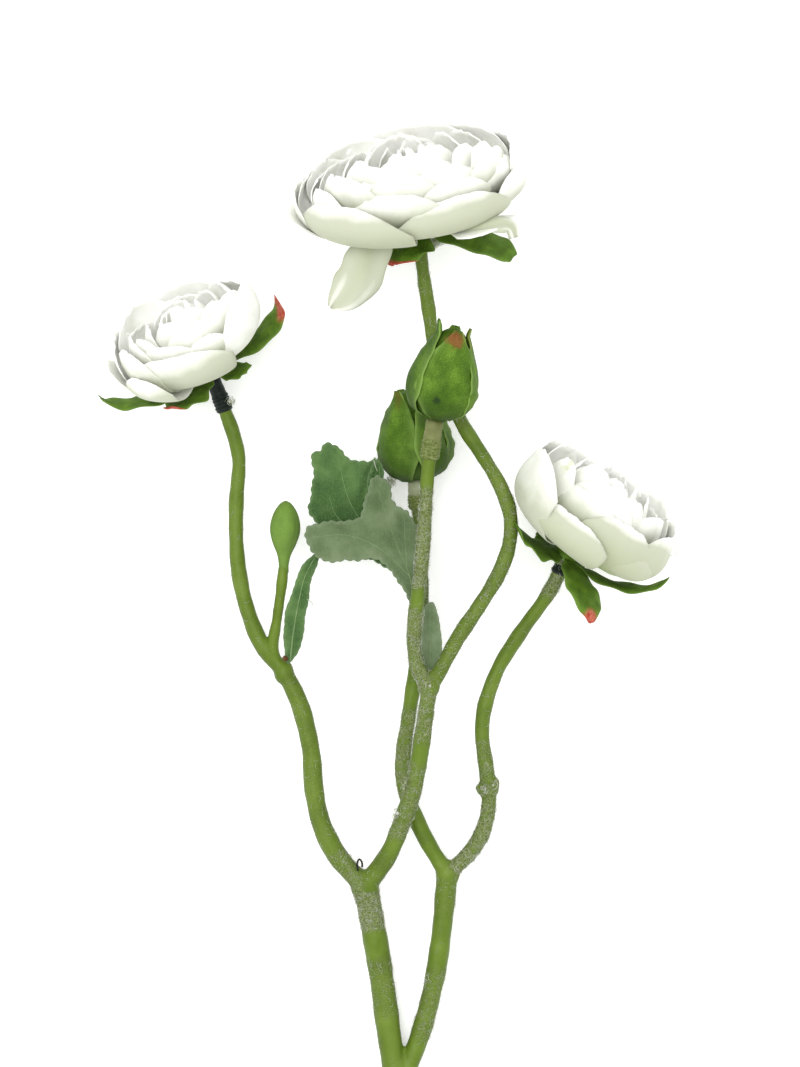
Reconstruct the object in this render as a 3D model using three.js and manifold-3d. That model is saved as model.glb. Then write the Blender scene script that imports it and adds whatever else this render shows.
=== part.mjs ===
// An artificial ranunculus spray lying on its back: three white blooms, two large buds, a small bud and
// three leaves on one forked stem. Millimetres. Seen from above, +X is right and +Y runs up to the top
// bloom; +Z is up from the surface that the spray lies on, which is at z = 0.

import * as THREE from "three";
import { mergeVertices } from "three/addons/utils/BufferGeometryUtils.js";
import Module from "manifold-3d";

const wasm = await Module();
wasm.setup();

// Driving dimensions

const PETAL_THICKNESS = 0.8;
const SEPAL_THICKNESS = 0.9;
const BUD_SEPAL_THICKNESS = 1.2;
const LEAF_THICKNESS = 0.8;
const FIT_GAP = 0.35; // between a piece and the stem or bloom that it is fitted to
const STEM_SIDES = 8;
const STEM_STEP = 10.5; // along a branch, between its sections
const SLEEVE_WALL = 0.7;
const COLLAR_WALL = 0.9;

const TOP_BLOOM_RADIUS = 33;
const TOP_BLOOM_HEIGHT = 25;
const LEFT_BLOOM_RADIUS = 22.5;
const LEFT_BLOOM_HEIGHT = 20;
const RIGHT_BLOOM_RADIUS = 24.8;
const RIGHT_BLOOM_HEIGHT = 27;
const BUD_RADIUS = 9.4;
const BUD_LENGTH = 27;
const SMALL_BUD_RADIUS = 4.3;
const SMALL_BUD_LENGTH = 17.5;

// How the petals and sepals are formed

const ROUND_SIDES = 10; // of the cores, the buds and the seats under the blooms
const PETAL_OVERLAP = 1.1; // how far a petal's one edge lies outside and its other edge inside its middle
const PETAL_CUP = 0.05; // how far its edges bend in, as a share of its reach
const RUFFLE_TURN = 3.6; // radians of ruffle from its middle to its edge
const OUTER_ROOT = { radius: 0.28, height: 3 }; // share of the bloom's radius; height above its base
const OUTER_PETAL = { ruffle: 0.4, grid: { across: 4, along: 4 } };
const INNER_PETAL = { rounding: 0.24, ruffle: 0.2, grid: { across: 3, along: 3 } };
const PETAL_SAG = 2.6; // how far a petal dips between its root and its belly
const INNER_RING_LAP = 40; // degrees that a ring's petals cover beyond a full turn
const INNER_RING_SHIFT = 17; // degrees between one ring and the next

// Shares of the bloom's radius and height and of the petal's reach, before the first ring and at the last
const INNER_RINGS = {
  reach: [1, 0.3],
  rim: [0.5, 1],
  rootRadius: [0.28, 0.1],
  rootHeight: [0.16, 0.42],
  inward: [0.1, 0.55],
};

const SEPAL_START = { radius: 3, height: -1.7 };
const SEPAL_DIP = -4.2; // height of a sepal's belly, under its bloom
const SEPAL_FOLD = 0.1; // how far its edges fall away, as a share of its half width
const SEAT = { top: 0.1, height: 2.4, topRadius: 4, bottomRadius: 2.8 }; // carries the sepals

// The stem's branches: radius at the start and the end, and the route of the centre line

const BRANCHES = {
  cutEnd: { radii: [3.8, 3.7], route: [[3, -162, 3.6], [3.2, -140, 4], [3, -126, 4.2], [2.4, -112, 4.6]] },
  leftMain: {
    radii: [3.3, 3.5],
    route: [[2.4, -114, 4.6], [0.4, -102, 5], [-2.1, -83, 6], [-4.7, -67, 7.5], [-7.2, -54, 9.3]],
  },
  rightMain: {
    radii: [2.6, 2.9],
    route: [
      [3, -114, 4.6], [6.4, -105, 4.4], [10.1, -94, 4.6], [13.3, -80, 5.2], [15.3, -65, 6], [16.6, -50, 7],
    ],
  },
  leftBranch: {
    radii: [2.9, 2.4],
    route: [
      [-7.4, -55, 9.4], [-14.6, -47, 10.5], [-19.2, -38, 11.5], [-21.4, -28, 12.5],
      [-22.3, -16.5, 13], [-25.4, -3.7, 13], [-29.9, 6, 13],
    ],
  },
  leftBloomBranch: {
    radii: [2.3, 1.8],
    route: [
      [-29.7, 5.5, 13], [-36.2, 13.3, 12.5], [-40.4, 23.3, 11.5], [-42.7, 33.2, 11], [-43.6, 43.2, 10.5],
      [-43.6, 54.5, 10], [-42.9, 66, 9.5], [-44.3, 72.8, 9.2], [-46.4, 78.8, 9.6], [-48.8, 85.4, 10.9],
      [-51.2, 91.4, 13],
    ],
  },
  smallBudBranch: {
    radii: [1.5, 1.4],
    route: [[-30.5, 5, 13.2], [-33, 12, 14], [-31.9, 20.5, 15], [-30.7, 29, 16], [-29.9, 36, 16]],
  },
  middleBranch: {
    radii: [2.7, 2.2],
    route: [
      [-6.5, -55, 9.4], [-0.4, -46.4, 12], [3.3, -37.6, 15], [6.7, -27.5, 18], [8.6, -17.5, 20],
      [10, -7.6, 22], [11.4, 2.6, 23],
    ],
  },
  frontBudBranch: {
    radii: [2.1, 1.7],
    route: [
      [11.2, 1.6, 23], [8.1, 7.2, 24.5], [6.9, 13.7, 26.5], [7.5, 23.6, 28.5], [8.9, 34.8, 30],
      [10, 48.8, 31.5], [10.8, 62.7, 33], [11.9, 71, 34], [12.6, 75.8, 34.6],
    ],
  },
  topBloomBranch: {
    radii: [2.1, 1.8],
    route: [
      [11.4, 1.6, 23], [15.1, 8, 23.5], [19.3, 15.6, 24], [25.5, 24.9, 24], [30.6, 33.3, 24],
      [33.7, 41.8, 24], [34, 50.2, 24], [31.1, 58.6, 24], [26.1, 67.1, 24], [20.7, 75.5, 24],
      [16.8, 84, 24], [14.3, 91, 24], [12.3, 99.5, 23.8], [10.9, 109.3, 23.4], [9.8, 116.3, 23.4],
      [9, 122.6, 23.9], [8.4, 129.4, 25.3],
    ],
  },
  rearBudBranch: {
    radii: [2.3, 1.7],
    route: [
      [16.4, -52, 7], [11, -43.3, 7.5], [7, -35, 8], [4.1, -26.7, 8], [3.9, -18.2, 8], [5.3, -8.2, 8.5],
      [7, 3.3, 9], [8.4, 14.7, 9.5], [9.3, 26.1, 10], [9, 37.5, 10.5], [8.4, 47.4, 11], [7.3, 57.6, 12.8],
    ],
  },
  rightBloomBranch: {
    radii: [2.2, 1.9],
    route: [
      [16.8, -52, 7], [23.5, -45.2, 9], [26.9, -38.8, 10.5], [28.3, -30.8, 11.5], [27.4, -20.8, 12],
      [26.3, -12.2, 12.5], [27, -4.5, 13], [30.8, 6.5, 13.5], [34.5, 12.8, 14.2], [38.7, 19.1, 15.3],
      [43.2, 25.3, 16.8], [46.4, 30.5, 17.7], [49.4, 37.4, 18.3],
    ],
  },
};

// Swollen places on the stem: where, and the half sizes across and along it
const SWELLINGS = [
  { at: [-7, -55.5, 9.2], across: 4.1, along: 4.4 },
  { at: [16.6, -52, 7], across: 3.5, along: 4 },
  { at: [11.2, 2, 23], across: 3.1, along: 3.6 },
  { at: [-30, 5.6, 13], across: 2.9, along: 3.6 },
  { at: [27.9, -27.6, 11.8], across: 3.3, along: 2.6 },
];

// The blooms. Turns are degrees round the bloom's axis, from the side that faces up to the right.
// An outer petal has its middle at `turn`, spans `spread` degrees, rises to `rim`, and lies `out` further
// from the axis than the bloom's radius; its sides are lower by a share `round`.

const TOP_BLOOM = {
  base: [7.9, 132.3, 26.3],
  tilt: 11,
  lean: 23,
  radius: TOP_BLOOM_RADIUS,
  height: TOP_BLOOM_HEIGHT,
  outerPetals: [
    { turn: -44, spread: 80, rim: 16.8, out: 1.6, round: 0.36 },
    { turn: 20, spread: 72, rim: 14.8, out: 0.4, round: 0.34 },
    { turn: 72, spread: 58, rim: 13, out: -0.4, round: 0.3 },
    { turn: 104, spread: 64, rim: 18.6, out: 0.4, round: 0.16 },
    { turn: -90, spread: 50, rim: 12, out: 2.4, round: 0.3 },
    { turn: 140, spread: 70, rim: 19, out: 0.2, round: 0.14 },
    { turn: 176, spread: 70, rim: 20, out: -0.2, round: 0.12 },
    { turn: -146, spread: 70, rim: 18.8, out: -0.4, round: 0.16 },
    { turn: -114, spread: 62, rim: 17, out: 0.2, round: 0.16 },
  ],
  innerRings: [5, 4, 3],
  sepals: [
    { turn: -20, reach: 17, tip: -6, width: 11 },
    { turn: 60, reach: 27.5, tip: -11, width: 12.5 },
    { turn: -62, reach: 22, tip: -15, width: 9 },
    { turn: 140, reach: 20, tip: -1.5, width: 11 },
    { turn: -140, reach: 20, tip: -1.5, width: 11 },
  ],
  seed: 1,
};

const LEFT_BLOOM = {
  base: [-52.2, 93.5, 14.3],
  tilt: 27,
  lean: 30,
  radius: LEFT_BLOOM_RADIUS,
  height: LEFT_BLOOM_HEIGHT,
  outerPetals: [
    { turn: -24, spread: 94, rim: 16, out: 0.6, round: 0.24 },
    { turn: 64, spread: 92, rim: 19.5, out: -0.4, round: 0.28 },
    { turn: -52, spread: 48, rim: 12, out: 2.8, round: 0.26 },
    { turn: -64, spread: 58, rim: 18.5, out: 0.4, round: 0.26 },
    { turn: -88, spread: 40, rim: 14, out: 1.6, round: 0.3 },
    { turn: -104, spread: 56, rim: 17.5, out: 0.8, round: 0.2 },
    { turn: -140, spread: 66, rim: 18, out: -0.6, round: 0.16 },
    { turn: 176, spread: 66, rim: 16.2, out: 0.2, round: 0.16 },
    { turn: 130, spread: 66, rim: 13.8, out: 0, round: 0.2 },
  ],
  innerRings: [4, 3],
  sepals: [
    { turn: -86, reach: 31, tip: 4.5, width: 8 },
    { turn: -28, reach: 20, tip: -1, width: 12 },
    { turn: 42, reach: 15.5, tip: -3, width: 9 },
    { turn: 94, reach: 26.5, tip: 5.5, width: 8 },
    { turn: 178, reach: 13, tip: -1.5, width: 10 },
  ],
  seed: 2,
};

const RIGHT_BLOOM = {
  base: [50.9, 40.1, 18.9],
  tilt: -33,
  lean: 12,
  radius: RIGHT_BLOOM_RADIUS,
  height: RIGHT_BLOOM_HEIGHT,
  outerPetals: [
    { turn: -14, spread: 70, rim: 13.4, out: 0.4, round: 0.22 },
    { turn: -68, spread: 84, rim: 21.4, out: 1.2, round: 0.2 },
    { turn: 26, spread: 66, rim: 18.8, out: -1, round: 0.2 },
    { turn: 60, spread: 60, rim: 13.8, out: 1, round: 0.24 },
    { turn: 72, spread: 56, rim: 20, out: 0.8, round: 0.2 },
    { turn: 104, spread: 60, rim: 22, out: 1, round: 0.16 },
    { turn: 140, spread: 66, rim: 24, out: 0.6, round: 0.16 },
    { turn: 176, spread: 66, rim: 23.2, out: 0, round: 0.14 },
    { turn: -146, spread: 64, rim: 23, out: 0.4, round: 0.14 },
    { turn: -110, spread: 60, rim: 23.4, out: 0, round: 0.16 },
  ],
  innerRings: [4, 3],
  sepals: [
    { turn: -60, reach: 18.5, tip: -1.5, width: 15 },
    { turn: 44, reach: 20, tip: -11.5, width: 12 },
    { turn: 90, reach: 28, tip: 9.5, width: 8 },
    { turn: 168, reach: 14, tip: -1.5, width: 10 },
    { turn: -140, reach: 12, tip: -1.5, width: 10 },
  ],
  seed: 3,
};

// The petal of the top bloom that has come loose and hangs down: its middle line, and how far it is folded
const HANGING_PETAL = {
  rib: [[-3, 131, 41], [-5.2, 125.5, 43.5], [-8.4, 118.5, 44.5], [-11.2, 112.6, 44], [-12.4, 108.4, 43]],
  width: 14,
  fold: 0.4,
};

// Buds: where the base is, how far the axis tilts left and leans up, in degrees
const FRONT_BUD = { base: [12.7, 76.5, 34.9], tilt: -13, lean: 12, ridges: 4, seed: 4 };
const REAR_BUD = { base: [7.1, 58.3, 13], tilt: 6, lean: 5, ridges: 4, seed: 5 };
const SMALL_BUD = { base: [-29.9, 36.4, 16.1], tilt: -2, lean: 3 };

// Leaves: the outline of each blade, from its root round it. The large leaf is folded, so that its near
// blade shows the underside and lies over the far blade, which shows the upper side.
const LARGE_LEAF_NEAR_BLADE = [
  [6.7, 24, 25.9], [3, 31, 25.6], [0.2, 34.5, 25.7], [-2.6, 37.5, 26], [-11, 37.4, 26], [-19, 37.5, 25],
  [-22.3, 41, 24], [-23.7, 43.7, 23.5], [-22.6, 47, 24], [-19, 48, 25], [-14, 48.5, 26], [-9, 49, 26],
  [-7.4, 52.2, 25.5], [-5, 60, 24], [-3.2, 61.2, 23.5], [-0.4, 59.5, 24], [0.8, 55, 25], [3, 52, 25.5],
  [5, 51.3, 26], [7, 48, 26], [8.3, 42, 26], [8.3, 36, 26], [7.6, 29, 26],
];
const LARGE_LEAF_FAR_BLADE = [
  [6.5, 24.4, 25.7], [1, 34, 23], [-6, 38, 20], [-14, 43, 18], [-20.2, 47.4, 17], [-22.8, 51.5, 16.5],
  [-22.2, 56, 16.5], [-21.5, 62, 16], [-21.8, 68, 15.5], [-19.5, 68.5, 16], [-18, 70.6, 15.5],
  [-14.6, 69.6, 16.5], [-12.4, 66.8, 17], [-9.4, 65.6, 18], [-5.2, 65.4, 19], [-4.2, 66.8, 18.5],
  [-3.8, 62, 19], [-4.5, 56, 20], [-1, 46, 22], [4, 34, 23.5],
];
const SMALL_LEAF_BLADE = [
  [-29, 7.4, 14.6], [-29.9, 13.5, 15], [-29.9, 18, 15.5], [-29.3, 23.5, 17], [-27.2, 29, 18.5],
  [-26, 33, 19.5], [-23.8, 37, 20], [-20.2, 39.5, 20], [-20.2, 36.5, 20], [-22.1, 32, 19.5],
  [-22.7, 27, 18.5], [-23.9, 21, 17], [-24.5, 15.5, 16], [-26.4, 10.5, 15.4],
];
const MIDDLE_LEAF_BLADE = [
  [11.6, 2.8, 20.2], [9.8, 6.4, 19], [8.7, 10.7, 18.5], [8.9, 17.7, 18], [10.1, 24.5, 18],
  [12.3, 25.6, 18], [13.7, 22, 18], [14.6, 17, 18], [14.9, 11.5, 18], [14.6, 5.3, 19],
];

const FRONT_SLEEVE = { from: 0.86, to: 0.985 }; // shares of the branch's length that a sleeve covers
const REAR_SLEEVE = { from: 0.93, to: 0.99 };
const LEFT_COLLAR = { from: 0.88, to: 0.973 };
const RIGHT_COLLAR = { from: 0.95, to: 0.982 };
const WIRE_END = { radii: [0.6, 0.6], route: [[-9, -50.9, 11.9], [-8.8, -49, 12.3], [-8.4, -47.2, 12.2]] };

// Materials

function finish(colour, roughness) {
  return new THREE.MeshStandardMaterial({ color: colour, roughness, metalness: 0 });
}

const PETAL_FABRIC = finish(0xf6f7ee, 0.85);
const SEPAL_FABRIC = finish(0x4c7d24, 0.8);
const BUD_PLASTIC = finish(0x4f7824, 0.6);
const LEAF_FABRIC = finish(0x4a7048, 0.8);
const STEM_PLASTIC = finish(0x7f9f3c, 0.6);
const COLLAR_PLASTIC = finish(0x14201a, 0.5);
const SLEEVE_PLASTIC = finish(0xa9a98c, 0.6);
const WIRE_METAL = finish(0x1c1a18, 0.5);

// Solids

function asSolid(geometry) {
  const bare = new THREE.BufferGeometry().setAttribute("position", geometry.getAttribute("position"));
  if (geometry.index) bare.setIndex(geometry.index);
  const merged = mergeVertices(bare, 1e-4);
  return new wasm.Manifold(
    new wasm.Mesh({
      numProp: 3,
      vertProperties: merged.attributes.position.array,
      triVerts: new Uint32Array(merged.index.array),
    }),
  );
}

// The main body of a solid, without loose scraps and with any space sealed inside it filled
function mainBody(solid) {
  return solid.decompose().reduce((largest, body) => (body.volume() > largest.volume() ? body : largest));
}

function fuse(solids) {
  return mainBody(solids.reduce((whole, solid) => whole.add(solid)));
}

function meshOf(name, solid, material) {
  const { vertProperties, triVerts } = solid.getMesh();
  const geometry = new THREE.BufferGeometry();
  geometry.setAttribute("position", new THREE.BufferAttribute(vertProperties, 3));
  geometry.setIndex(new THREE.BufferAttribute(triVerts, 1));
  geometry.computeVertexNormals();
  const mesh = new THREE.Mesh(geometry, material);
  mesh.name = name;
  return mesh;
}

const vector = ([x, y, z]) => new THREE.Vector3(x, y, z);
const radians = THREE.MathUtils.degToRad;
const mix = THREE.MathUtils.lerp;

// A repeatable number from 0 to 1 for a place in a series
function chance(seed, index) {
  const wave = Math.sin(seed * 127.1 + index * 311.7) * 43758.5453;
  return wave - Math.floor(wave);
}

// The pose of a bloom or a bud, whose own +Y is its axis and own +Z is the side that faces up
function poseOf({ base, tilt, lean }) {
  const pose = new THREE.Matrix4().makeTranslation(vector(base));
  pose.multiply(new THREE.Matrix4().makeRotationZ(radians(tilt)));
  return pose.multiply(new THREE.Matrix4().makeRotationX(radians(lean)));
}

// A thin closed sheet. surface(u, v) gives its middle for u and v from 0 to 1; a pose moves it, and
// what would lie below the surface that the spray rests on is pressed flat on it.
function sheet(surface, { across, along, thickness, pose = new THREE.Matrix4() }) {
  const nudge = 1e-3;
  const place = (u, v) => surface(u, v).applyMatrix4(pose);
  const normalAt = (u, v) => {
    const aside = place(Math.min(u + nudge, 1), v).sub(place(Math.max(u - nudge, 0), v));
    const onward = place(u, Math.min(v + nudge, 1)).sub(place(u, Math.max(v - nudge, 0)));
    return aside.cross(onward).normalize();
  };
  const front = [];
  const back = [];
  for (let j = 0; j <= along; j++) {
    for (let i = 0; i <= across; i++) {
      const u = i / across;
      const v = j / along;
      const middle = place(u, v);
      const half = normalAt(u, v).multiplyScalar(thickness / 2);
      const upper = middle.clone().add(half);
      const lower = middle.clone().sub(half);
      const upperRest = half.z > 0 ? thickness : 0;
      upper.z = Math.max(upper.z, upperRest);
      lower.z = Math.max(lower.z, thickness - upperRest);
      front.push(upper);
      back.push(lower);
    }
  }
  const points = [...front, ...back];
  const row = across + 1;
  const offset = front.length;
  const faces = [];
  for (let j = 0; j < along; j++) {
    for (let i = 0; i < across; i++) {
      const a = j * row + i;
      const b = a + 1;
      const c = a + row;
      const d = c + 1;
      const split = i + 0.5 < across / 2 ? [[a, b, d], [a, d, c]] : [[a, b, c], [b, d, c]];
      for (const [p, q, r] of split) {
        faces.push(p, q, r);
        faces.push(p + offset, r + offset, q + offset);
      }
    }
  }
  const edge = [];
  for (let i = 0; i < across; i++) edge.push(i);
  for (let j = 0; j < along; j++) edge.push(j * row + across);
  for (let i = across; i > 0; i--) edge.push(along * row + i);
  for (let j = along; j > 0; j--) edge.push(j * row);
  edge.forEach((p, k) => {
    const q = edge[(k + 1) % edge.length];
    faces.push(p, p + offset, q);
    faces.push(q, p + offset, q + offset);
  });
  const geometry = new THREE.BufferGeometry().setFromPoints(points);
  geometry.setIndex(faces);
  return asSolid(geometry);
}

// A round tube along a route, from the first radius to the last, larger all round and at its ends by an
// extra, and never below the resting surface
function tube({ radii, route }, extra) {
  const path = new THREE.CatmullRomCurve3(route.map(vector), false, "centripetal");
  const steps = Math.max(2, Math.round(path.getLength() / STEM_STEP));
  const circle = new THREE.Shape().absarc(0, 0, 1, 0, Math.PI * 2);
  const options = { steps, extrudePath: path, curveSegments: STEM_SIDES / 2 };
  const geometry = new THREE.ExtrudeGeometry(circle, options);
  const centres = path.getSpacedPoints(steps);
  const spot = new THREE.Vector3();
  const position = geometry.getAttribute("position");
  for (let i = 0; i < position.count; i++) {
    spot.fromBufferAttribute(position, i);
    const distances = centres.map((centre) => centre.distanceTo(spot));
    const nearest = distances.indexOf(Math.min(...distances));
    const radius = mix(radii[0], radii[1], nearest / steps) + extra;
    spot.sub(centres[nearest]).multiplyScalar(radius).add(centres[nearest]);
    if (nearest === 0) spot.addScaledVector(path.getTangent(0), -extra);
    if (nearest === steps) spot.addScaledVector(path.getTangent(1), extra);
    position.setXYZ(i, spot.x, spot.y, Math.max(spot.z, 0));
  }
  return asSolid(geometry);
}

// The part of a branch between two shares of its length, as a branch of its own
function stretchOf({ radii, route }, { from, to }) {
  const path = new THREE.CatmullRomCurve3(route.map(vector), false, "centripetal");
  const shares = [0, 1, 2, 3].map((step) => mix(from, to, step / 3));
  return {
    radii: [mix(radii[0], radii[1], from), mix(radii[0], radii[1], to)],
    route: shares.map((share) => path.getPointAt(share).toArray()),
  };
}

// Stem

function makeSwelling({ at, across, along }, extra) {
  const geometry = new THREE.SphereGeometry(1, STEM_SIDES, 4);
  geometry.scale(across + extra, along + extra, across + extra);
  geometry.translate(...at);
  return asSolid(geometry);
}

// The whole stem, thicker all round by an extra
function makeStem(extra) {
  const tubes = Object.values(BRANCHES).map((branch) => tube(branch, extra));
  const swellings = SWELLINGS.map((swelling) => makeSwelling(swelling, extra));
  return fuse([...tubes, ...swellings]);
}

const stemRoom = makeStem(FIT_GAP); // the stem with the gap that the pieces fitted to it keep

function clearOfStem(solid) {
  return mainBody(solid.subtract(stemRoom));
}

function makeSleeve(branch, stretch, wall) {
  return clearOfStem(tube(stretchOf(branch, stretch), FIT_GAP + wall));
}

// Blooms

// A point of a bloom's own frame, at a distance from its axis, a height and a turn
function roundAxis(radius, height, turn) {
  return new THREE.Vector3(radius * Math.sin(turn), height, radius * Math.cos(turn));
}

// The side view of a petal, from its root near the axis out round its belly and up to its rim
function petalProfile({ root, reach, rim, inward }) {
  const [rootRadius, rootHeight] = root;
  return new THREE.CubicBezierCurve(
    new THREE.Vector2(rootRadius, rootHeight),
    new THREE.Vector2(reach * 0.76, rootHeight - PETAL_SAG),
    new THREE.Vector2(reach * 1.14, mix(rootHeight, rim, 0.3)),
    new THREE.Vector2(reach - inward, rim),
  );
}

// A petal with its middle at `turn`, spanning `spread` degrees; a draw from 0 to 1 sets its ruffle
function makePetal(bloom, profile, { turn, spread, draw }, { rounding, ruffle, grid }) {
  const cup = PETAL_CUP * profile.v2.x;
  const surface = (u, v) => {
    const side = 2 * u - 1;
    const share = v * (1 - rounding * Math.abs(side) ** 2.8);
    const spot = profile.getPoint(share);
    const wave = ruffle * share ** 2 * Math.sin(side * RUFFLE_TURN + 6 * draw);
    const lap = side * PETAL_OVERLAP;
    const radius = spot.x + lap * mix(0.5, 1, share) - cup * side ** 2 * share + wave;
    const height = spot.y + 0.5 * wave - lap * (1 - share);
    return roundAxis(radius, height, radians(turn + (side * spread) / 2));
  };
  return sheet(surface, { ...grid, thickness: PETAL_THICKNESS, pose: poseOf(bloom) });
}

function makeOuterPetals(bloom) {
  return bloom.outerPetals.map(({ turn, spread, rim, out, round }, index) => {
    const reach = bloom.radius + out;
    const root = [bloom.radius * OUTER_ROOT.radius, OUTER_ROOT.height - 0.4 * out];
    const profile = petalProfile({ root, reach, rim, inward: (reach * rim) / 150 });
    const form = { ...OUTER_PETAL, rounding: round };
    return makePetal(bloom, profile, { turn, spread, draw: chance(bloom.seed, index) }, form);
  });
}

function makeInnerPetals(bloom) {
  const rings = bloom.innerRings.length;
  return bloom.innerRings.flatMap((count, ring) => {
    const share = (ring + 1) / rings;
    const at = (range) => mix(...INNER_RINGS[range], share);
    const reach = bloom.radius * at("reach");
    const root = [bloom.radius * at("rootRadius"), bloom.height * at("rootHeight")];
    const spread = (360 + INNER_RING_LAP) / count;
    return Array.from({ length: count }, (_, index) => {
      const draw = chance(bloom.seed, 20 * (ring + 1) + index);
      const turn = (360 * (index + 0.5 * (ring % 2)) + 60 * draw) / count + INNER_RING_SHIFT * ring;
      const rim = bloom.height * at("rim") + 1.5 * (draw - 0.5);
      const profile = petalProfile({ root, reach, rim, inward: reach * at("inward") });
      return makePetal(bloom, profile, { turn, spread, draw }, INNER_PETAL);
    });
  });
}

// A round solid from its outline of [radius, height], set in a pose
function turned(outline, pose) {
  const geometry = new THREE.LatheGeometry(outline.map(([r, h]) => new THREE.Vector2(r, h)), ROUND_SIDES);
  return asSolid(geometry.applyMatrix4(pose));
}

// The filling under the petals, which their roots are sunk in
function makeCore(bloom) {
  const { radius, height } = bloom;
  const outline = [
    [0, 0.4], [3.2, 0.6], [radius * 0.38, height * 0.14], [radius * 0.36, height * 0.28],
    [radius * 0.16, height * 0.48], [0, height * 0.56],
  ];
  return turned(outline, poseOf(bloom));
}

function makeBloom(bloom) {
  return fuse([makeCore(bloom), ...makeOuterPetals(bloom), ...makeInnerPetals(bloom)]);
}

function makeSepal(bloom, { turn, reach, tip, width }) {
  const middle = new THREE.CubicBezierCurve(
    new THREE.Vector2(SEPAL_START.radius, SEPAL_START.height),
    new THREE.Vector2(reach * 0.45, SEPAL_DIP),
    new THREE.Vector2(reach * 0.97, mix(SEPAL_DIP, tip, 0.24)),
    new THREE.Vector2(reach, tip),
  );
  const surface = (u, v) => {
    const side = 2 * u - 1;
    const spot = middle.getPoint(v);
    const half = (width / 2) * mix(0.36, 1, Math.sin(Math.PI * v ** 0.8)) * (1 - 0.5 * v ** 4);
    const ahead = roundAxis(spot.x, spot.y, radians(turn));
    const aside = roundAxis(side * half, 0, radians(turn + 90));
    return ahead.add(aside).add(new THREE.Vector3(0, -SEPAL_FOLD * Math.abs(side) * half, 0));
  };
  return sheet(surface, { across: 2, along: 4, thickness: SEPAL_THICKNESS, pose: poseOf(bloom) });
}

function makeCalyx(bloom) {
  const seat = new THREE.CylinderGeometry(SEAT.topRadius, SEAT.bottomRadius, SEAT.height, ROUND_SIDES);
  seat.translate(0, SEAT.top - SEAT.height / 2, 0);
  seat.applyMatrix4(poseOf(bloom));
  return fuse([asSolid(seat), ...bloom.sepals.map((sepal) => makeSepal(bloom, sepal))]);
}

function makeHangingPetal({ rib, width, fold }) {
  const path = new THREE.CatmullRomCurve3(rib.map(vector));
  const up = new THREE.Vector3(0, 0, 1);
  const surface = (u, v) => {
    const side = 2 * u - 1;
    const onward = path.getTangent(v);
    const across = new THREE.Vector3().crossVectors(onward, up).normalize();
    const half = (width / 2) * mix(0.6, 1, Math.sin(Math.PI * v));
    const spot = path.getPoint(v).addScaledVector(across, side * half);
    return spot.addScaledVector(up, -fold * half * side ** 2);
  };
  return sheet(surface, { across: 4, along: 4, thickness: PETAL_THICKNESS });
}

// Buds

// Shares of a bud's radius and length, from its base to its tip
const BUD_OUTLINE = [
  [0, 0], [0.42, 0.015], [0.8, 0.1], [0.98, 0.24], [1, 0.38], [0.86, 0.56], [0.62, 0.74], [0.36, 0.9],
  [0, 0.97],
];
const SMALL_BUD_OUTLINE = [
  [0, 0], [0.36, 0.01], [0.42, 0.16], [0.86, 0.34], [1, 0.52], [0.94, 0.7], [0.68, 0.87], [0.34, 0.96],
  [0, 0.99],
];

function makeBud(bud) {
  const outline = BUD_OUTLINE.map(([r, h]) => [r * (BUD_RADIUS - 0.1), h * BUD_LENGTH]);
  const profile = new THREE.SplineCurve(
    BUD_OUTLINE.slice(1, -1).map(([r, h]) => new THREE.Vector2(r * BUD_RADIUS, h * BUD_LENGTH)),
  );
  const sepals = Array.from({ length: bud.ridges }, (_, index) => {
    const turn = (360 * index) / bud.ridges + 20 * chance(bud.seed, index);
    const surface = (u, v) => {
      const side = 2 * u - 1;
      const spot = profile.getPoint(v);
      const half = radians(mix(30, 41, Math.sin(Math.PI * v)));
      const lift = 0.2 * v * (1 - side ** 2) + 0.5 * v ** 6;
      return roundAxis(spot.x + lift, spot.y + 1.2 * v ** 4, radians(turn) + side * half);
    };
    return sheet(surface, { across: 3, along: 4, thickness: BUD_SEPAL_THICKNESS, pose: poseOf(bud) });
  });
  return fuse([turned(outline, poseOf(bud)), ...sepals]);
}

function makeSmallBud(bud) {
  const outline = SMALL_BUD_OUTLINE.map(([r, h]) => [r * SMALL_BUD_RADIUS, h * SMALL_BUD_LENGTH]);
  return turned(outline, poseOf(bud));
}

// Leaves

// A blade of even thickness inside an outline, each point of which has its own height
function makeBlade(outline) {
  const flat = outline.map(([x, y]) => new THREE.Vector2(x, y));
  const around = THREE.ShapeUtils.isClockWise(flat) ? [...outline].reverse() : outline;
  const corners = around.map(([x, y]) => new THREE.Vector2(x, y));
  const face = (lift) => around.map(([x, y, z]) => vector([x, y, z + lift]));
  const points = [...face(LEAF_THICKNESS / 2), ...face(-LEAF_THICKNESS / 2)];
  const count = around.length;
  const faces = THREE.ShapeUtils.triangulateShape(corners, []).flatMap(([p, q, r]) => [
    p, q, r, p + count, r + count, q + count,
  ]);
  for (let p = 0; p < count; p++) {
    const q = (p + 1) % count;
    faces.push(p, p + count, q);
    faces.push(q, p + count, q + count);
  }
  const geometry = new THREE.BufferGeometry().setFromPoints(points);
  geometry.setIndex(faces);
  return asSolid(geometry);
}

// The spray

const spray = new THREE.Group();
spray.name = "ranunculus_spray";

function add(name, solid, material) {
  spray.add(meshOf(name, solid, material));
}

const topPetals = fuse([makeBloom(TOP_BLOOM), makeHangingPetal(HANGING_PETAL)]);
const largeLeaf = fuse([makeBlade(LARGE_LEAF_NEAR_BLADE), makeBlade(LARGE_LEAF_FAR_BLADE)]);

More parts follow.
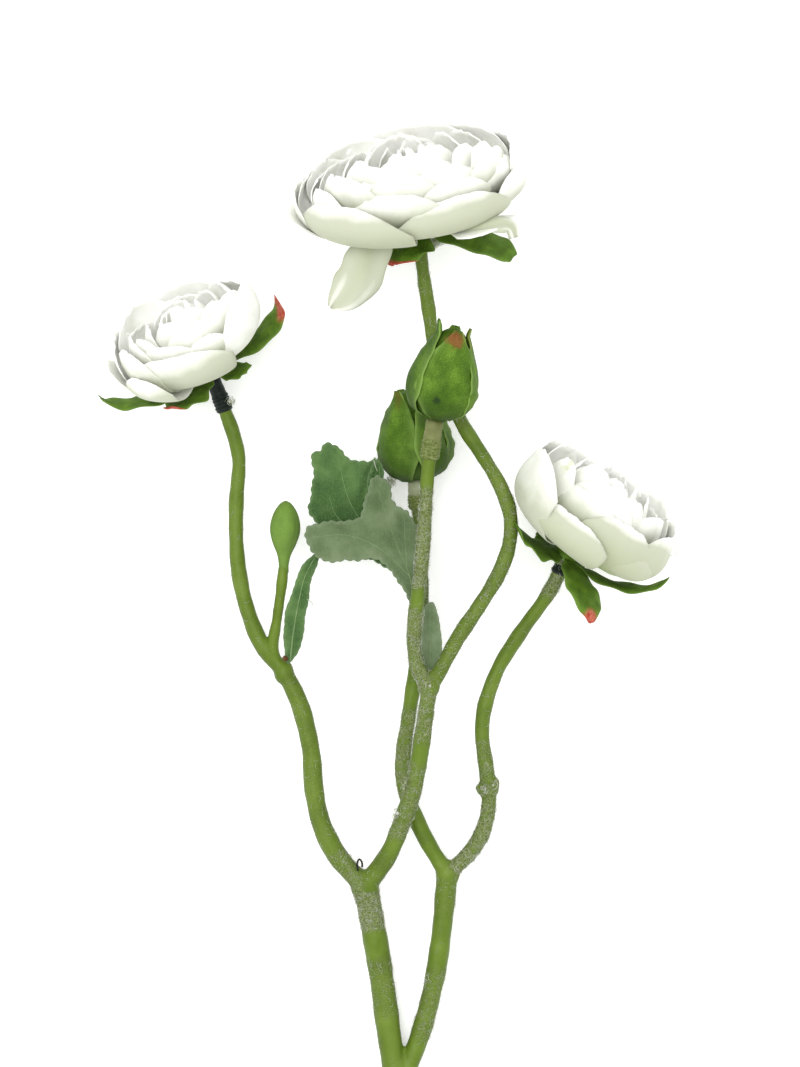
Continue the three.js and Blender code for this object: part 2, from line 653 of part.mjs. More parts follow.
add("stem", makeStem(0), STEM_PLASTIC);
add("wire_end", clearOfStem(tube(WIRE_END, 0)), WIRE_METAL);
add("top_bloom_petals", clearOfStem(topPetals), PETAL_FABRIC);
add("top_bloom_calyx", clearOfStem(makeCalyx(TOP_BLOOM)), SEPAL_FABRIC);
add("left_bloom_petals", clearOfStem(makeBloom(LEFT_BLOOM)), PETAL_FABRIC);
add("left_bloom_calyx", clearOfStem(makeCalyx(LEFT_BLOOM)), SEPAL_FABRIC);
add("left_bloom_collar", makeSleeve(BRANCHES.leftBloomBranch, LEFT_COLLAR, COLLAR_WALL), COLLAR_PLASTIC);
add("right_bloom_petals", clearOfStem(makeBloom(RIGHT_BLOOM)), PETAL_FABRIC);
add("right_bloom_calyx", clearOfStem(makeCalyx(RIGHT_BLOOM)), SEPAL_FABRIC);
add("right_bloom_collar", makeSleeve(BRANCHES.rightBloomBranch, RIGHT_COLLAR, COLLAR_WALL), COLLAR_PLASTIC);
add("front_bud", clearOfStem(makeBud(FRONT_BUD)), BUD_PLASTIC);
add("front_bud_sleeve", makeSleeve(BRANCHES.frontBudBranch, FRONT_SLEEVE, SLEEVE_WALL), SLEEVE_PLASTIC);
add("rear_bud", clearOfStem(makeBud(REAR_BUD)), BUD_PLASTIC);
add("rear_bud_sleeve", makeSleeve(BRANCHES.rearBudBranch, REAR_SLEEVE, SLEEVE_WALL), SLEEVE_PLASTIC);
add("small_bud", clearOfStem(makeSmallBud(SMALL_BUD)), BUD_PLASTIC);
add("large_leaf", clearOfStem(largeLeaf), LEAF_FABRIC);
add("small_leaf", clearOfStem(makeBlade(SMALL_LEAF_BLADE)), LEAF_FABRIC);
add("middle_leaf", clearOfStem(makeBlade(MIDDLE_LEAF_BLADE)), LEAF_FABRIC);

export default spray;
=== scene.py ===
# The looks of an artificial ranunculus spray that lies on its back: fabric blooms, buds and leaves on a
# forked plastic stem. Sizes are in millimetres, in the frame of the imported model, and become metres where
# a mesh is made. Seen from above, +X is right and +Y runs up to the top bloom; +Z is up from the floor.

import math

import bpy
import numpy as np
from mathutils import Matrix, Vector, kdtree
from mathutils.geometry import delaunay_2d_cdt


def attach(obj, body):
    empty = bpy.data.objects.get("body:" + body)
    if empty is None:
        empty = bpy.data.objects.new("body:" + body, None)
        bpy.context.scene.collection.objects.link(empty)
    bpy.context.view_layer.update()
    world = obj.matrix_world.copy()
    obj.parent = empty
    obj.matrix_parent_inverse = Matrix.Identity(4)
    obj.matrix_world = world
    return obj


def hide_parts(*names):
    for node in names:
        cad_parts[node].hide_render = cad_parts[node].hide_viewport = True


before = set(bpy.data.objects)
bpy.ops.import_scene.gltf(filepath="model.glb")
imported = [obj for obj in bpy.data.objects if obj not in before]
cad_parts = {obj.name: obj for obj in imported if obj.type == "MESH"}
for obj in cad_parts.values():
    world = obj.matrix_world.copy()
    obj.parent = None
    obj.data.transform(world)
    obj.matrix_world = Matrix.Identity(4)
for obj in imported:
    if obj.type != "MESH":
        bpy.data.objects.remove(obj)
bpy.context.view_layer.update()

MM = 0.001
WAVE_SCALE = math.pi / 10  # of a wave texture whose bands are 1 apart

# Driving dimensions

PETAL_THICKNESS = 0.4
SEPAL_THICKNESS = 0.5
BUD_SEPAL_THICKNESS = 0.7
LEAF_THICKNESS = 0.45
LEAF_GRID = 0.8  # between the points of a leaf blade
LEAF_RIM_STEP = 0.5  # between the points of its rim
TOOTH_PITCH = 2.4  # between the teeth of its rim
VEIN_SINK = 0.5  # how far a blade is sunk along a vein
VEIN_SPREAD = 1.6  # how far to the sides of a vein it is sunk
STEM_VOXEL = 0.5  # fineness of the moulded stem's surface
STEM_STEP = 1.5  # along a branch, between its sections
STEM_EXTRA = 0.12  # on a branch's radius
SLEEVE_WALL = 0.75
SLEEVE_SIDES = 28
COLLAR_WALL = 0.3
WIRE_RADIUS = 0.28
STRAND_RADIUS = 0.1

TOP_BLOOM_RADIUS = 33
TOP_BLOOM_HEIGHT = 25
LEFT_BLOOM_RADIUS = 22.5
LEFT_BLOOM_HEIGHT = 20
RIGHT_BLOOM_RADIUS = 24.8
RIGHT_BLOOM_HEIGHT = 27
BUD_RADIUS = 9.4
BUD_LENGTH = 27
SMALL_BUD_RADIUS = 4.3
SMALL_BUD_LENGTH = 17.5

# How the petals and sepals are formed

PETAL_OVERLAP = 1.1  # how far a petal's one edge lies outside and its other edge inside its middle
PETAL_CUP = 0.05  # how far its edges bend in, as a share of its reach
RUFFLE_TURN = 3.6  # radians of ruffle from its middle to its edge
NICK_DEPTH = 0.2  # of the small nicks in its rim
DENT_DEPTH = 0.35  # of the soft dents in its face
OUTER_ROOT = {"radius": 0.28, "height": 3}  # share of the bloom's radius; height above its base
OUTER_PETAL = {"ruffle": 0.4, "across": 32, "along": 26}
INNER_ROOT = {"radius": 0.25, "height": 5}
INNER_PETAL = {"rounding": 0.26, "ruffle": 0.35, "across": 22, "along": 18}
RING_TINT = 0.25  # how far the ring petals' roots take the cream-green tint, partly painted shade
LAID_TINT = 0.5  # the same on the inner petals that are laid one by one
INNER_FACE_LIT_SHARE = 0.04  # low share of the root tint on faces that look into the bloom: painted light
PETAL_SAG = 2.6  # how far a petal dips between its root and its belly
OUTER_BELLY = 0.3  # where an outer petal bulges most, as a share of its height
INNER_BELLY = 0.45
RING_LAP = 70  # degrees that a ring's petals cover beyond a full turn
RING_SHIFT = 29  # degrees between one ring and the next
RING_WANDER = 0.22  # radians over which a ring's petals stray from even places
SEPAL_START = (3, -1.7)  # radius and height
SEPAL_DIP = -3.4  # height of a sepal's belly, under its bloom
SEPAL_TWIST = 0.3  # how far the sepals at a bloom's right turn over, as a share of their half width
SEPAL_BEND = 2.2  # how far its tip bends sideways, at most
SEPAL_FOLD = 0.1  # how far its edges fall away, as a share of its half width
SEPAL_OUTLINE = [(0.4, 0), (0.8, 0.2), (1, 0.45)]  # half width, place, from its root to its middle
SEPAL_SEAT = [(0, -2.8), (2.7, -2.6), (3.4, -1.4), (4, -0.3), (3.6, 0), (0, 0)]  # radius and height
BUD_SEPAL_OUTLINE = [(0.5, 0), (0.8, 0.1), (1, 0.3), (0.88, 0.58), (0.52, 0.84), (0.16, 1)]

# The stem's branches: radius at the start and the end, and the route of the centre line

BRANCHES = {
    "cut_end": ((3.8, 3.7), [(3, -162, 3.6), (3.2, -140, 4), (3, -126, 4.2), (2.4, -112, 4.6)]),
    "left_main": (
        (3.3, 3.5),
        [(2.4, -114, 4.6), (0.4, -102, 5), (-2.1, -83, 6), (-4.7, -67, 7.5), (-7.2, -54, 9.3)],
    ),
    "right_main": (
        (2.6, 2.9),
        [
            (3, -114, 4.6), (6.4, -105, 4.4), (10.1, -94, 4.6), (13.3, -80, 5.2), (15.3, -65, 6),
            (16.6, -50, 7),
        ],
    ),
    "left_branch": (
        (2.9, 2.4),
        [
            (-7.4, -55, 9.4), (-14.6, -47, 10.5), (-19.2, -38, 11.5), (-21.4, -28, 12.5), (-22.3, -16.5, 13),
            (-25.4, -3.7, 13), (-29.9, 6, 13),
        ],
    ),
    "left_bloom_branch": (
        (2.3, 1.8),
        [
            (-29.7, 5.5, 13), (-36.2, 13.3, 12.5), (-40.4, 23.3, 11.5), (-42.7, 33.2, 11),
            (-43.6, 43.2, 10.5), (-43.6, 54.5, 10), (-42.9, 66, 9.5), (-44.3, 72.8, 9.2), (-46.4, 78.8, 9.6),
            (-48.8, 85.4, 10.9), (-51.2, 91.4, 13),
        ],
    ),
    "small_bud_branch": (
        (1.5, 1.4),
        [(-30.5, 5, 13.2), (-33, 12, 14), (-31.9, 20.5, 15), (-30.7, 29, 16), (-29.9, 36, 16)],
    ),
    "middle_branch": (
        (2.7, 2.2),
        [
            (-6.5, -55, 9.4), (-0.4, -46.4, 12), (3.3, -37.6, 15), (6.7, -27.5, 18), (8.6, -17.5, 20),
            (10, -7.6, 22), (11.4, 2.6, 23),
        ],
    ),
    "front_bud_branch": (
        (2.1, 1.7),
        [
            (11.2, 1.6, 23), (8.1, 7.2, 24.5), (6.9, 13.7, 26.5), (7.5, 23.6, 28.5), (8.9, 34.8, 30),
            (10, 48.8, 31.5), (10.8, 62.7, 33), (11.9, 71, 34), (12.8, 76.8, 34.7),
        ],
    ),
    "top_bloom_branch": (
        (2.1, 1.8),
        [
            (11.4, 1.6, 23), (15.1, 8, 23.5), (19.3, 15.6, 24), (25.5, 24.9, 24), (30.6, 33.3, 24),
            (33.7, 41.8, 24), (34, 50.2, 24), (31.1, 58.6, 24), (26.1, 67.1, 24), (20.7, 75.5, 24),
            (16.8, 84, 24), (14.3, 91, 24), (12.3, 99.5, 23.8), (10.9, 109.3, 23.4), (9.8, 116.3, 23.4),
            (9, 122.6, 23.9), (8.4, 129.4, 25.3),
        ],
    ),
    "rear_bud_branch": (
        (2.3, 1.7),
        [
            (16.4, -52, 7), (11, -43.3, 7.5), (7, -35, 8), (4.1, -26.7, 8), (3.9, -18.2, 8), (5.3, -8.2, 8.5),
            (7, 3.3, 9), (8.4, 14.7, 9.5), (9.3, 26.1, 10), (9, 37.5, 10.5), (8.4, 47.4, 11), (7.6, 60.4, 13),
        ],
    ),
    "right_bloom_branch": (
        (2.2, 1.9),
        [
            (16.8, -52, 7), (23.5, -45.2, 9), (26.9, -38.8, 10.5), (28.3, -30.8, 11.5), (27.4, -20.8, 12),
            (26.3, -12.2, 12.5), (27, -4.5, 13), (30.8, 6.5, 13.5), (34.5, 12.8, 14.2), (38.7, 19.1, 15.3),
            (43.2, 25.3, 16.8), (46.4, 30.5, 17.7), (49.4, 37.4, 18.3),
        ],
    ),
}

# Swollen places on the stem: where, and the half sizes across and along it
SWELLINGS = [
    ((-7, -55.5, 9.2), 4.1, 4.4),
    ((16.6, -52, 7), 3.5, 4),
    ((11.2, 2, 23), 3.1, 3.6),
    ((-30, 5.6, 13), 2.9, 3.6),
    ((27.9, -27.6, 11.8), 3.3, 2.6),
    ((25.8, -27.3, 13.2), 1.5, 1.3),
    ((30, -26, 12.8), 1.4, 1.9),
]

SCUFF_LEAST = 0.05  # how scuffed the rest of the stem is
SCUFF_FADE = 0.03  # share of a branch's length over which a scuff fades out

# Stretches of the branches that are scuffed and carry glue fibres: shares of the length, and how badly
SCUFFS = [
    ("left_main", 0.78, 1, 1),
    ("left_main", 0.36, 0.62, 0.45),
    ("left_main", 0, 0.3, 0.1),
    ("right_main", 0.25, 0.55, 0.5),
    ("right_main", 0.8, 1, 0.3),
    ("left_branch", 0, 0.18, 0.6),
    ("left_branch", 0.2, 1, 0.25),
    ("left_bloom_branch", 0.1, 0.7, 0.15),
    ("middle_branch", 0.05, 0.2, 0.25),
    ("middle_branch", 0.28, 0.62, 0.6),
    ("middle_branch", 0.75, 1, 0.7),
    ("front_bud_branch", 0.02, 0.3, 0.9),
    ("front_bud_branch", 0.4, 0.74, 1),
    ("top_bloom_branch", 0.02, 0.5, 0.5),
    ("top_bloom_branch", 0.6, 1, 0.35),
    ("rear_bud_branch", 0.2, 0.42, 0.7),
    ("rear_bud_branch", 0.7, 0.95, 0.7),
    ("right_bloom_branch", 0.03, 0.24, 0.9),
    ("right_bloom_branch", 0.24, 0.42, 0.6),
    ("right_bloom_branch", 0.42, 0.9, 0.15),
    ("right_bloom_branch", 0.9, 1, 0.9),
]

# The blooms. Turns are degrees round the bloom's axis, from the side that faces up to the right. An outer
# petal has its middle at its turn, spans its spread, rises to its rim, and lies out from the bloom's radius;
# then come the share that its sides are lower by, and how far its rim flares. An inner petal has its own
# reach and bends inward by its last number. The rings that fill the bloom have a count of petals, their
# reach, their rim and how far they bend inward. The tint pair says how far the outer petals' roots are
# painted cream-green and grey, partly their own green and partly painted shade: first where they face the
# picture's sides or its top, and then, deeper, where they face its lower edge and turn from the light.
# Sepals have a turn, a reach, the height of the tip, a width, how red the tip is and how broad it ends.

TOP_BLOOM = {
    "base": (7.9, 132.3, 26.3),
    "tilt": 11,
    "lean": 23,
    "radius": TOP_BLOOM_RADIUS,
    "height": TOP_BLOOM_HEIGHT,
    "outer_petals": [
        (-44, 80, 16.8, 1.6, 0.36, 0),
        (20, 72, 14.8, 0.4, 0.34, 0),
        (40, 42, 1.5, -2, 0.3, 0),
        (72, 58, 13, -0.4, 0.3, 0),
        (104, 64, 18.6, 0.4, 0.16, 0),
        (-90, 50, 12, 0, 0.3, 6),
        (-104, 62, 16, 0.4, 0.2, 2),
        (140, 70, 19, 0.2, 0.14, 0),
        (176, 70, 20, -0.2, 0.12, 0),
        (-146, 70, 18.8, -0.4, 0.16, 0),
        (-120, 60, 17, 0.2, 0.16, 0),
    ],
    "inner_petals": [
        (-50, 62, 22, 27, 4),
        (-8, 54, 22.5, 27.5, 4.5),
        (24, 50, 18.5, 29, 2.5),
        (64, 60, 20.5, 28, 3),
        (14, 66, 23.5, 21, 3.5),
        (-34, 64, 23.5, 22, 4),
        (-12, 54, 18.6, 30.5, 1.5),
    ],
    "rings": [
        (8, 30.5, 15.8, 3.5), (7, 27, 19.5, 5.5), (6, 22, 21, 7), (5, 16.5, 22, 7), (4, 11, 22.4, 6.5),
        (3, 6, 22, 4.5),
    ],
    "ring_lean": -6,
    "root_tint_and_shade": (0.3, 1.15),
    "sepals": [
        (-24, 16.5, -6, 15, 1, 0.1),
        (60, 27.5, -11, 12.5, 0, 0.6),
        (-62, 22, -15, 9, 0, 0.3),
        (140, 20, -1.5, 11, 0, 0.3),
        (-140, 20, -1.5, 11, 0, 0.3),
    ],
    "seed": 1,
}

LEFT_BLOOM = {
    "base": (-52.2, 93.5, 14.3),
    "tilt": 27,
    "lean": 30,
    "radius": LEFT_BLOOM_RADIUS,
    "height": LEFT_BLOOM_HEIGHT,
    "outer_petals": [
        (-24, 94, 16, 0.6, 0.24, 0),
        (64, 92, 19.5, -0.4, 0.28, 0),
        (-52, 48, 12, 2.8, 0.26, 0),
        (-64, 58, 18.5, 0.4, 0.26, 0),
        (-88, 40, 14, 1.6, 0.3, 3),
        (-104, 56, 17.5, 0.8, 0.2, 0),
        (-140, 66, 18, -0.6, 0.16, 0),
        (176, 66, 16.2, 0.2, 0.16, 0),
        (130, 66, 13.8, 0, 0.2, 0),
    ],
    "inner_petals": [
        (10, 44, 16.5, 20, 1.5),
        (-30, 70, 17.5, 18.5, 2),
        (40, 70, 19, 18, 2.5),
        (-75, 70, 18.5, 18.5, 2.5),
    ],
    "rings": [(6, 18, 16.5, 3.5), (5, 14, 17.5, 4), (4, 10, 18, 4), (3, 6, 17.5, 3)],
    "ring_lean": -12,
    "root_tint_and_shade": (0.1, 0.6),
    "sepals": [
        (-86, 31, 6, 10, 0, 0.3),
        (-44, 20.5, 0, 14, 1, 0.12),
        (44, 14.5, -2.6, 8, 0, 0.4),
        (94, 26.5, 5.5, 9, 1, 1),
        (178, 13, -1.5, 10, 0, 0.3),
    ],
    "seed": 2,
}

RIGHT_BLOOM = {
    "base": (50.9, 40.1, 18.9),
    "tilt": -33,
    "lean": 12,
    "radius": RIGHT_BLOOM_RADIUS,
    "height": RIGHT_BLOOM_HEIGHT,
    "outer_petals": [
        (-14, 70, 13.4, 0.4, 0.22, 0),
        (-68, 84, 21.4, 1.2, 0.2, 0),
        (26, 66, 18.8, -1, 0.2, 0),
        (62, 60, 14, -0.4, 0.24, 0),
        (72, 56, 20, 0.8, 0.2, 0),
        (104, 60, 22, 1, 0.16, 0),
        (140, 66, 24, 0.6, 0.16, 0),
        (176, 66, 23.2, 0, 0.14, 0),
        (-146, 64, 23, 0.4, 0.14, 0),
        (-110, 60, 23.4, 0, 0.16, 0),
    ],
    "inner_petals": [
        (-12, 78, 20.5, 20.5, 2.5),
        (22, 70, 24, 18, 3),
        (-60, 70, 22, 19, 3),
        (62, 60, 22.5, 19, 2.5),
    ],
    "rings": [(6, 20.5, 22.5, 4), (5, 16, 24.5, 5), (4, 11, 25.5, 5), (3, 6.5, 25.5, 3.5)],
    "ring_lean": -2,
    "root_tint_and_shade": (0.34, 1.5),
    "sepals": [
        (-62, 19, 0, 20, 0, 0.5),
        (42, 20.5, -11.5, 14, 1, 0.1),
        (90, 27.5, 9.5, 8, 0, 0.4),
        (168, 14, -1.5, 10, 0, 0.3),
        (-140, 12, -1.5, 10, 0, 0.3),
    ],
    "seed": 3,
}
BLOOMS = {"top": TOP_BLOOM, "left": LEFT_BLOOM, "right": RIGHT_BLOOM}

# The petal of the top bloom that has come loose and hangs down, and the one that is folded back at its right
HANGING_PETAL = {
    "rib": [(-2.4, 131, 41), (-4, 126, 43.5), (-6.4, 120, 44.5), (-10, 113.6, 44), (-16.4, 107.6, 43)],
    "outline": [(0.66, 0), (0.86, 0.3), (0.98, 0.5), (0.9, 0.72), (0.56, 0.9), (0.12, 1)],
    "width": 12.8,
    "fold": 0.4,
}
FOLDED_PETAL = {
    "rib": [(17, 129, 46), (23, 129.8, 49), (29, 130.2, 50), (33.4, 129.6, 48.5), (34.6, 126.6, 47)],
    "outline": [(0.6, 0), (0.95, 0.3), (1, 0.6), (0.6, 1)],
    "width": 4.8,
    "fold": 0.5,
}

# Buds: where the base is, how far the axis tilts left and leans up, in degrees, and how far up the painted
# shade at their base reaches. Each sepal has a turn, a half width in degrees, how far up the bud it reaches,
# how far it stands off, and how red its tip is.
FRONT_BUD = {
    "base": (12.7, 77.4, 34.9),
    "tilt": -13,
    "lean": 12,
    "foot_shade": 0.33,
    "sepals": [
        (15, 56, 1, 0.9, 0),
        (100, 48, 1.02, 0.8, 0.25),
        (-78, 46, 1.06, 1.7, 0),
        (180, 55, 1, 0.5, 0),
    ],
}
REAR_BUD = {
    "base": (7.8, 60.2, 13),
    "tilt": 6,
    "lean": 5,
    "foot_shade": 0.55,
    "sepals": [
        (-48, 56, 1, 0.6, 0.25),
        (52, 48, 0.98, 2.2, 0.2),
        (120, 50, 1, 0.5, 0),
        (-150, 58, 1, 0.4, 0),
    ],
}
BUD_BLUSH = (18.3, 98.4, 44)  # the middle of the red patch at the front bud's tip
BUD_BRUISE = (13.2, 81.8, 45.4)
PETAL_STAIN = (48.9, 66, 34)  # yellow-green, inside the right bloom
PETAL_SPECK = (52.4, 46, 41)
SMALL_BUD = {"base": (-29.9, 36.9, 16.1), "tilt": -2, "lean": 3}

# Shares of a bud's radius and length, from its base to its tip
BUD_OUTLINE = [
    (0, 0), (0.42, 0.015), (0.8, 0.1), (0.98, 0.24), (1, 0.38), (0.86, 0.56), (0.62, 0.74), (0.36, 0.9),
    (0, 0.97),
]
SMALL_BUD_OUTLINE = [
    (0, -0.2), (0.3, -0.19), (0.33, -0.04), (0.46, 0.12), (0.78, 0.3), (1, 0.5), (0.95, 0.67), (0.7, 0.84),
    (0.32, 0.96), (0, 1),
]

# Leaves: the outline of each blade, from its root round it, and its veins. The large leaf is folded, so that
# its near blade shows the underside and lies over the far blade, which shows the upper side.
LARGE_LEAF_NEAR_BLADE = [
    (6.7, 24, 25.9), (3, 31, 25.6), (0.2, 34.5, 25.7), (-2.6, 37.5, 26), (-11, 37.4, 26), (-19, 37.5, 25),
    (-22.3, 41, 24), (-23.7, 43.7, 23.5), (-22.6, 47, 24), (-19, 48, 25), (-14, 48.5, 26), (-9, 49, 26),
    (-7.4, 52.2, 25.5), (-5, 60, 24), (-3.2, 61.2, 23.5), (-0.4, 59.5, 24), (0.8, 55, 25), (3, 52, 25.5),
    (5, 51.3, 26), (7, 48, 26), (8.3, 42, 26), (8.3, 36, 26), (7.6, 29, 26),
]
LARGE_LEAF_FAR_BLADE = [
    (6.5, 24.4, 25.7), (1, 34, 23), (-6, 38, 20), (-14, 43, 18), (-20.2, 47.4, 17), (-22.8, 51.5, 16.5),
    (-22.2, 56, 16.5), (-21.5, 62, 16), (-21.8, 68, 15.5), (-19.5, 68.5, 16), (-18, 70.6, 15.5),
    (-14.6, 69.6, 16.5), (-12.4, 66.8, 17), (-9.4, 65.6, 18), (-5.2, 65.4, 19), (-4.2, 66.8, 18.5),
    (-3.8, 62, 19), (-4.5, 56, 20), (-1, 46, 22), (4, 34, 23.5),
]
SMALL_LEAF_BLADE = [
    (-29, 7.4, 14.6), (-29.9, 13.5, 15), (-29.9, 18, 15.5), (-29.3, 23.5, 17), (-27.2, 29, 18.5),
    (-26, 33, 19.5), (-23.8, 37, 20), (-20.2, 39.5, 20), (-20.2, 36.5, 20), (-22.1, 32, 19.5),
    (-22.7, 27, 18.5), (-23.9, 21, 17), (-24.5, 15.5, 16), (-26.4, 10.5, 15.4),
]
MIDDLE_LEAF_BLADE = [
    (11.6, 2.8, 20.2), (9.8, 6.4, 19), (8.7, 10.7, 18.5), (8.9, 17.7, 18), (10.1, 24.5, 18), (12.3, 25.6, 18),
    (13.7, 22, 18), (14.6, 17, 18), (14.9, 11.5, 18), (14.6, 5.3, 19),
]
LARGE_LEAF_FOLD = [
    (-3.2, 66.3, 20), (-1.7, 63.6, 21), (-1.8, 60.4, 21), (-3.4, 58.6, 21), (-5.8, 57, 20.5),
    (-6.2, 60.6, 20.3), (-5, 64, 20),
]
FAR_BLADE_CREASE = [(-5.2, 65.6), (-7.4, 59), (-10.6, 50)]  # painted shade, where the far blade bends
NEAR_BLADE_VEINS = [
    [(7, 25), (5.4, 34), (2, 42), (-3.5, 58)],
    [(5.8, 33), (-3, 41), (-12, 44.5), (-22, 44)],
    [(5, 36), (4.4, 43), (4.2, 50)],
]
FAR_BLADE_VEINS = [
    [(-2, 42), (-9, 50), (-12, 56), (-14.5, 66)],
    [(-8, 44), (-15, 50), (-17, 55)],
    [(-2, 42), (-6, 50), (-6.6, 57)],
]
FOLD_VEINS = [[(-2.6, 60), (-3, 65)]]
SMALL_LEAF_VEINS = [[(-28.2, 8.5), (-27.2, 17), (-25.6, 26), (-23.8, 33), (-20.6, 39)]]
MIDDLE_LEAF_VEINS = [[(11.8, 4), (11.6, 14), (11.4, 24)]]

# Shares of the branch's length that a sleeve covers
FRONT_SLEEVE = (0.855, 1)
REAR_SLEEVE = (0.925, 1)
LEFT_COLLAR = (0.86, 0.973)
RIGHT_COLLAR = (0.958, 0.984)
GLUE_LUMPS = [  # place, radius
    ((4.6, -25.4, 20), 0.4), ((4.1, -27, 19.8), 0.35), ((2.3, -34.2, 17.6), 0.6), ((1.6, -35.6, 17), 0.4),
    ((27.2, -27.4, 14.8), 0.45), ((29.4, -26.4, 14.6), 0.4), ((11.4, 2.2, 26.1), 0.4),
    ((12.6, 126.6, 28.6), 1.2), ((14.2, 127.4, 29), 1), ((0.4, 59.6, 15.4), 1), ((-45.2, 82.5, 14.2), 0.6),
]
GLUE_STRANDS = [
    [(77, 48.6, 24), (79, 49.2, 25.6), (81.2, 49.4, 26.2)],
    [(77, 38.6, 22), (79.4, 38.8, 23.4), (82, 40, 23.2)],
    [(-23.2, 26.4, 19), (-22.4, 25.8, 19.3), (-21.6, 25.2, 19), (-21.8, 24.6, 18.8)],
    [(-1.6, 60.4, 19), (-3.4, 62.6, 20), (-4.4, 65.6, 20.4)],
]
LEAF_STUB = ((-29.5, 9.6, 15.9), 0.8)  # the brown broken stub beside the small leaf's root
WIRE_END = [
    (-9, -50.9, 11.9), (-9.1, -48.6, 12.5), (-8.6, -47.5, 12.6), (-7.9, -48.2, 12.4), (-7.7, -49.8, 12),
]

# Camera, from the photograph's framing: straight above, with the cut stem end below the picture
CAMERA_AT = (3, 45, 1230)
CAMERA_LENS = 144.6  # on the 36 mm long side of the picture

# Studio, in metres and watts
STUDIO_LIGHT = 1.5  # how much brighter than their colours the light makes things
SKY_STRENGTH = 1.2
KEY_AT = (-0.6, 0.45, 3.4)
KEY_AIM = (0, 0.05, 0.02)
KEY_SIZE = 2.4
KEY_POWER = 60
FLOOR_REACH = 4


# Numbers and curves


def mix(first, last, share):
    return first + (last - first) * share


def chance(seed, index):
    """A repeatable number from 0 to 1 for a place in a series."""
    wave = math.sin(seed * 127.1 + index * 311.7) * 43758.5453
    return wave - math.floor(wave)


def unit(vectors):
    return vectors / np.maximum(np.linalg.norm(vectors, axis=-1, keepdims=True), 1e-9)


def gap_to(others, spots):
    """The distance from each spot to the nearest of the others."""
    return np.sqrt(((spots[:, None] - others[None]) ** 2).sum(-1)).min(1)


def bezier(points, share):
    """Points of a cubic Bezier curve, one for each share of its length."""
    share = np.asarray(share)[..., None]
    rest = 1 - share
    a, b, c, d = (np.array(point, float) for point in points)
    return rest**3 * a + 3 * rest**2 * share * b + 3 * rest * share**2 * c + share**3 * d


def smooth_path(route, step=None, count=None):
    """Evenly spaced points on the smooth curve through a route."""
    knots = np.array(route, float)
    knots = np.vstack([2 * knots[0] - knots[1], knots, 2 * knots[-1] - knots[-2]])
    t = np.linspace(0, 1, 24, endpoint=False)[:, None]
    spans = []
    for p0, p1, p2, p3 in zip(knots, knots[1:], knots[2:], knots[3:]):
        g0, g1, g2 = (math.sqrt(np.linalg.norm(b - a)) for a, b in ((p0, p1), (p1, p2), (p2, p3)))
        leave = ((p1 - p0) / g0 - (p2 - p0) / (g0 + g1) + (p2 - p1) / g1) * g1
        arrive = ((p2 - p1) / g1 - (p3 - p1) / (g1 + g2) + (p3 - p2) / g2) * g1
        spans.append(
            (2 * t**3 - 3 * t**2 + 1) * p1 + (t**3 - 2 * t**2 + t) * leave
            + (3 * t**2 - 2 * t**3) * p2 + (t**3 - t**2) * arrive
        )
    fine = np.vstack([*spans, knots[-2:-1]])
    lengths = np.concatenate([[0], np.cumsum(np.linalg.norm(np.diff(fine, axis=0), axis=1))])
    if count is None:
        count = max(2, round(lengths[-1] / step))
    at = np.linspace(0, lengths[-1], count + 1)
    return np.column_stack([np.interp(at, lengths, fine[:, axis]) for axis in range(fine.shape[1])])


def stretch_of(path, span):
    """The part of an evenly spaced path between two shares of its length."""
    last = len(path) - 1
    at = np.linspace(span[0] * last, span[1] * last, max(6, round((span[1] - span[0]) * last)))
    return np.column_stack([np.interp(at, np.arange(last + 1), path[:, axis]) for axis in range(3)])


def pose_of(part):
    """The pose of a bloom or bud, whose own +Y is its axis and own +Z is the side that faces up."""
    place = Matrix.Translation(part["base"])
    place @= Matrix.Rotation(math.radians(part["tilt"]), 4, "Z")
    return place @ Matrix.Rotation(math.radians(part["lean"]), 4, "X")


def moved(points, pose):
    return points @ np.array(pose.to_3x3()).T + np.array(pose.translation)


def round_axis(radius, height, turn):
    """Points of a bloom's own frame, at distances from its axis, heights and turns."""
    height = np.broadcast_to(height, np.shape(radius))
    return np.stack([radius * np.sin(turn), height, radius * np.cos(turn)], -1)


def width_at(outline, share):
    """The half width of an outline of (half width, place) pairs, at shares of its length."""
    fine = smooth_path(outline, count=80)
    return np.interp(share, fine[:, 1], fine[:, 0])


# Meshes


def placed(name, data):
    made = bpy.data.objects.new(name, data)
    bpy.context.scene.collection.objects.link(made)
    return made


class Shells:
    """Closed shells that are gathered into one piece, with a flat map in millimetres and named values."""

    def __init__(self, *names):
        self.points = []
        self.faces = []
        self.flat = []
        self.skins = []
        self.values = {name: [] for name in names}
        self.count = 0

    def add(self, points, faces, flat=None, skins=0, **values):
        self.points.append(points)
        self.faces += [tuple(corner + self.count for corner in face) for face in faces]
        self.flat.append(points[:, :2] if flat is None else flat)
        self.skins += list(np.broadcast_to(skins, len(faces)))
        for name, kept in self.values.items():
            kept.append(np.broadcast_to(values.get(name, 0), len(points)))
        self.count += len(points)

    def piece(self, name, *materials):
        mesh = bpy.data.meshes.new(name)
        mesh.from_pydata((np.vstack(self.points) * MM).tolist(), [], self.faces)
        flat = np.vstack(self.flat)
        corners = np.empty(len(mesh.loops), int)
        mesh.loops.foreach_get("vertex_index", corners)
        mesh.uv_layers.new(name="flat").data.foreach_set("uv", flat[corners].ravel())
        for label, kept in self.values.items():
            attribute = mesh.attributes.new(label, "FLOAT", "POINT")
            attribute.data.foreach_set("value", np.concatenate(kept).astype(float))
        for material in materials:
            mesh.materials.append(material)
        mesh.polygons.foreach_set("material_index", self.skins)
        mesh.shade_smooth()
        return placed(name, mesh)


